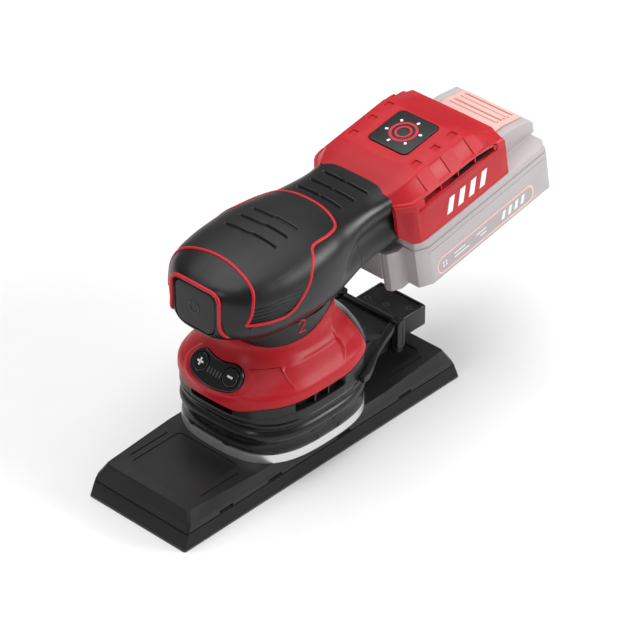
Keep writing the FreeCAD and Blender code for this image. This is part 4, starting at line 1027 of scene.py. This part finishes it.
# v, side half width, half width of the flat top, shoulder height, top height
COVER = (
    (-3.0, 28.6, 22.0, 28.6, 35.4), (2.6, 33.9, 24.4, 28.3, 37.0), (5.4, 35.7, 25.3, 28.2, 37.8),
    (8.2, 36.2, 25.9, 28.4, 38.3), (14.0, 36.3, 26.3, 29.0, 38.7),
    (53.0, 36.6, 26.5, 28.8, 38.7), (75.0, 36.4, 27.5, 25.0, 30.0),
)


def cover_at(v):
    """Side half width, half width of the flat top, shoulder height and top height."""
    keys, *columns = zip(*COVER)
    return [float(np.interp(v, keys, column)) for column in columns]


def cover_low(v):
    """Lower edge of the cover, rounded up towards its front corners."""
    return COVER_LOW + 0.085 * max(0.0, 5.5 - v) ** 2


def cover_row(v, chamfer):
    """Half a cross-section of the cover, from the lower edge up to the middle of the top."""
    half, flat, shoulder, top = cover_at(v)
    low = cover_low(v)
    slot = 1 if SLOT_FRONT < v < SLOT_REAR else 0
    slot_high = shoulder + 0.2
    slot_low = slot_high - SLOT_TALL
    step = 1 - chamfer
    slope = [(half - 1.3 + (flat + 2.9 - half) * t - 0.5 * step,
              slot_high + 0.9 + (top - 1.6 - slot_high) * t - 0.4 * step) for t in (0.12, 0.88)]
    return [(half, low), (half, low + 4.0), (half + 0.1, slot_low - 6.4), (half + 0.2, slot_low - 4.4),
            (half + 0.2, slot_low - 3.4), (half + 0.2, slot_low - 1.7), (half + 0.1, slot_low - 0.9),
            (half, slot_low), (half - 3.6 * slot, slot_low + 0.1), (half - 3.8 * slot, slot_high - 0.1),
            (half - 0.5, slot_high), (half - 1.3, slot_high + 0.9), *slope, (flat + 1.4, top - 0.55), (flat, top),
            (flat * 0.66, top + 0.12), (flat * 0.33, top + 0.2), (0.0, top + 0.22)]


def both_sides(half_row, v):
    return [dock(x, v, w) for x, w in half_row + [(-x, w) for x, w in reversed(half_row[:-1])]]


def cover_inside(v):
    """Half a cross-section of the cover's inner face."""
    top = cover_at(v)[3]
    shrunk = []
    for x, w in cover_row(v, 0):
        share = (w - COVER_LOW) / (top - COVER_LOW)
        shrunk.append((max(0.0, x - (2.2 if x > 1 else 0)), w - 2.0 * share if w > 5 else w))
    return shrunk


def cover_shell():
    """The red cover: a vent slot along each side, raised chamfers, dimples and a seat for the badge."""
    plain = (-3.0, -1.6, 0.6, 2.6, 4.0, 5.4, 6.8, 8.2, 11.6, 12.2, 14.0, 15.8, 25.3, 34.2, 43.7, 52.6, 61.3, 64.0,
             65.6, 66.2, 69.0, 73.5, 75.0)
    raised = (16.1, 25.0, 34.5, 43.4, 52.9, 61.0)
    stations = sorted([(v, 0) for v in plain] + [(v, 1) for v in raised])
    outer, inner = [], []
    for v, chamfer in stations:
        outer.append(both_sides(cover_row(v, chamfer), v))
        inner.append(both_sides(cover_inside(v), v - (1.8 if v == stations[-1][0] else 0.0)))
    cuts = []
    for side in (-1, 1):
        for v in (22.6, 37.5, 50.8):
            top = cover_at(v)[3]
            dimple = rounded(side * 19.9, side * 24.3, v - 2.2, v + 2.2, 0.5, 2)
            cuts.append(prism(dimple, top - 0.6, top + 2, dock))
    cuts.append(prism(rounded(-14.0, 14.0, 23.0, 52.0, 3.4, 6), 38.0, 41.0, dock))
    piece("cover_shell", thick_sheet(outer, inner), "red_shell", replaces="rear_cover",
          sharp=24, cuts=cuts, bevel=0.28, angle=22.0)


def cover_vent_fins_and_shade():
    """Fins in the vent slots, and dark sheets on the slots' floor and lower ledge as painted shade in place of open
    slots.
    """
    fins, shade_sheets = [], []
    for side in (-1, 1):
        for v in (25.2, 38.6, 52.0):
            half, _, shoulder, _ = cover_at(v)
            fins.append(slab(side * (half - 4.2), side * (half - 0.75), v - 0.35, v + 0.35, shoulder - SLOT_TALL,
                             shoulder + 0.4, dock))
        # dark sheets on each slot's floor and lower ledge: painted shade where the real slots open into the dark
        # inside
        for near, far, low, high in ((32.75, 33.1, 25.0, 29.1), (32.8, 35.9, 25.0, 25.25)):
            shade_sheets.append(slab(side * near, side * far, 12.6, 65.3, low, high, dock))
    piece("cover_vent_fins", merged(fins), "red_shell")
    piece("cover_vent_painted_shade", merged(shade_sheets), "slot_painted_shade", "")


cover_shell()
cover_vent_fins_and_shade()
COVER_WALL = [(26.8, 3.6), (35.4, 3.6), (35.4, 24.4), (27.4, 28.8), (-27.4, 28.8), (-35.4, 24.4), (-35.4, 3.6),
              (-26.8, 3.6), (-26.8, 17.6), (26.8, 17.6)]
piece("cover_rear_wall", prism(COVER_WALL, 72.4, 74.5, lambda a, b, h: dock(a, h, b)), "red_shell")


def cover_rails():
    """The pointed bar under each vent slot and the lip round the slot's rear end."""
    bar = [(7.2, 23.6), (14.5, 24.5), (64.5, 24.0), (68.2, 23.4), (69.4, 22.6), (66.5, 21.4), (15.0, 20.9),
           (11.0, 21.7)]
    bars = [pillow(bar, 35.6, 37.35, 0.5, place) for place in SIDES]
    piece("cover_bars_raised", merged(bars), "red_shell", sharp=30)
    for side, label in ((-1, "left"), (1, "right")):
        line = curved([(side * 35.2, 50.0, 29.6), (side * 35.2, 62.0, 29.0), (side * 35.5, 66.6, 28.2),
                       (side * 36.2, 68.8, 26.8), (side * 36.5, 69.0, 25.0), (side * 36.5, 67.6, 23.6)], 6)
        tube_piece("cover_slot_lip_" + label, [dock(*p) for p in line], 0.5, "red_shell")


BADGE_V, BADGE_FACE = 37.5, 39.3              # middle and face of the badge


def badge():
    """A dark plate with a plain sign: two rings and six ticks round them."""
    plate = pillow(rounded(-13.5, 13.5, 23.5, 51.5, 3.0, 6), 38.1, BADGE_FACE + 0.05, 0.3, dock)
    piece("badge_face", plate, "badge_grey", replaces="badge_plate")
    rings = []
    for far, near in ((7.95, 6.45), (4.8, 3.6)):
        outlines = [circle(0.0, BADGE_V, radius, 48) for radius in (far, near)]
        rings.append(flat_loop(*outlines, BADGE_FACE, BADGE_FACE + 0.18, dock))
    piece("badge_rings", merged(rings), "piping_red", "badge_grey")
    tick = ((8.8, -0.7), (10.6, -0.7), (10.6, 0.7), (8.8, 0.7))
    ticks = [prism(turned(tick, 0.0, BADGE_V, TAU * index / 6 + 0.3), BADGE_FACE, BADGE_FACE + 0.16, dock)
             for index in range(6)]
    piece("badge_ticks", merged(ticks), "print_white", "badge_grey")


badge()


def side_bars():
    """Plain slanted bars on each side of the cover."""
    bars = [prism(leaning(v, 8.0, 17.4, 4.2, 3.2), 36.0, 36.75, place) for place in SIDES
            for v in (26.0, 34.6, 43.2, 51.8)]
    piece("cover_bars", merged(bars), "print_white", "red_shell", bevel=0.12)


side_bars()
cover_rails()


# ---- battery
def pack_cuts():
    cuts = []
    for place in SIDES:
        cuts.append(slab(3.0, 105.0, -5.4, -4.9, 37.5, 39.0, place))
        for v in range(14, 90, 12):
            cuts.append(prism([(v, -29.0), (v + 8.0, -29.0), (v + 7.0, -26.6), (v + 1.0, -26.6)], 36.8, 39.0, place))
    return cuts


rebuilt("pack_lower", "pack_case", cuts=pack_cuts(), bevel=0.55, segments=3)
rebuilt("pack_upper", "pack_deck", bevel=0.55, segments=3)
rebuilt("battery_labels", "pack_labels", bevel=0.12, tidy=0.0)
LATCH = ((84.6, 90.0, 105.6), (17.3, 17.3, 13.4))       # along the latch and its height there
ridges = []
for v in (90.4, 94.6, 98.8, 103.0):
    top = np.interp(v, *LATCH)
    ridges.append(slab(-16.0, 16.0, v, v + 1.7, top - 1.0, top + 0.45, dock))
rebuilt("release_button", "latch_cap", bevel=0.35, adds=ridges)


LABEL = 37.9                    # from the middle to the label's face


def label_details():
    """A plain outline, slanted bars, strokes and a cross on each label."""
    lines, bars, cross = [], [], []
    for place in SIDES:
        lines.append(flat_loop(rounded(12.4, 90.8, -24.9, -13.9, 4.6, 8), rounded(13.6, 89.6, -23.8, -15.0, 3.7, 8),
                               LABEL, LABEL + 0.26, place))
        for v in (64.0, 69.2, 74.4, 79.6):
            bars.append(prism(leaning(v, -22.0, -17.0, 2.4, 1.8), LABEL, LABEL + 0.3, place))
        for v, w, length in ((26.0, -18.2, 9.0), (26.0, -20.6, 12.0), (44.0, -18.2, 8.0), (47.0, -20.6, 5.0)):
            bars.append(slab(v, v + length, w - 0.35, w + 0.35, LABEL, LABEL + 0.28, place))
        arm = ((2.2, -0.5), (2.2, 0.5), (-2.2, 0.5), (-2.2, -0.5))
        for degrees in (45, 135):
            cross.append(prism(turned(arm, 18.6, -19.4, math.radians(degrees)), LABEL, LABEL + 0.3, place))
    piece("pack_label_outline", merged(lines), "pack_pink", body="battery")
    piece("pack_label_bars", merged(bars), "print_pale", "pack_label", "battery")
    piece("pack_label_cross", merged(cross), "print_pale", "pack_label", "battery")


label_details()


# ---- dust duct and outlet
rebuilt("dust_duct", "duct_body", bevel=0.5, segments=3)
CATCH_ROLL = [(x, 69.4, 46.8) for x in np.linspace(-16.4, 17.9, 12)]
tube_piece("duct_catch_roll", CATCH_ROLL, 2.1, "duct_plastic", sides=20)


def side_loops():
    """Upright loops beside the flange that the outlet's arms clip round."""
    def place(a, b, h):
        return np.array((h, a, b))

    parts = []
    for side in (-1, 1):
        faces = sorted((side * 19.6, side * 23.7))
        parts.append(pillow(rounded(67.4, 73.4, 31.0, 48.6, 2.4, 6), *faces, 0.5, place))
    slot = prism(rounded(69.3, 71.5, 33.6, 46.0, 1.0, 4), -30, 30, place)
    piece("duct_side_loops", merged(parts), "duct_plastic", cuts=[slot])


side_loops()
port_top = box_mm("dust_adapter")[1][2]
port_cuts = [prism(rounded(-14.6, 14.6, 76.8, 96.0, 1.2, 3), port_top - 0.7, port_top + 2),
             slab(-20, 20, 92.6, 93.2, 41.9, 45)]
rebuilt("dust_adapter", "outlet_box", cuts=port_cuts, bevel=0.35)

for node_name in ("adapter_screws", "case_screws", "battery_screws", "carrier_screws", "pad_screws"):
    rebuilt(node_name, node_name + "_worn", bevel=0.12, tidy=0.0)


# ---- floor, light and camera
floor = placed("floor", bpy.data.meshes.new("floor"))
floor.data.from_pydata([(-6, -6, 0), (6, -6, 0), (6, 6, 0), (-6, 6, 0)], [], [(0, 1, 2, 3)])
shader("floor_look", (0.86, 0.86, 0.86), 0.75, mottle=0.01, wear=0.0, bump=0.02, specular=0.2)
floor.data.materials.append(LOOKS["floor_look"])

scene.world = set_all(bpy.data.worlds.new("studio"), use_nodes=True)
backdrop = scene.world.node_tree.nodes["Background"].inputs
backdrop["Color"].default_value = (1.0, 1.0, 1.0, 1.0)
backdrop["Strength"].default_value = 0.24


def aimed(ob, place, aim):
    ob.location = place
    ob.rotation_mode = "QUATERNION"
    ob.rotation_quaternion = (Vector(place) - Vector(aim)).to_track_quat("Z", "Y")


def softbox(name, place, aim, size, watts, tall=None):
    data = set_all(bpy.data.lights.new(name, "AREA"), shape="RECTANGLE", size=size, size_y=tall or size,
                   energy=watts)
    aimed(placed(name, data), place, aim)


softbox("key", (0.95, 0.86, 0.66), (0, 0, 0.08), 0.70, 11.5, 0.36)
softbox("overhead", (-0.25, 0.0, 2.2), (0, 0, 0.0), 2.7, 58)
softbox("front", (0.20, -1.25, 0.95), (0, 0, 0.10), 0.22, 2.4, 0.45)

camera = placed("camera", set_all(bpy.data.cameras.new("camera"), sensor_width=36.0, lens=199.19, clip_start=0.05,
                                  clip_end=50.0))
aimed(camera, (1.0480, -1.0870, 1.1198), (-0.00766, 0.04033, 0.05005))
scene.camera = camera
scene.view_settings.view_transform = "Standard"
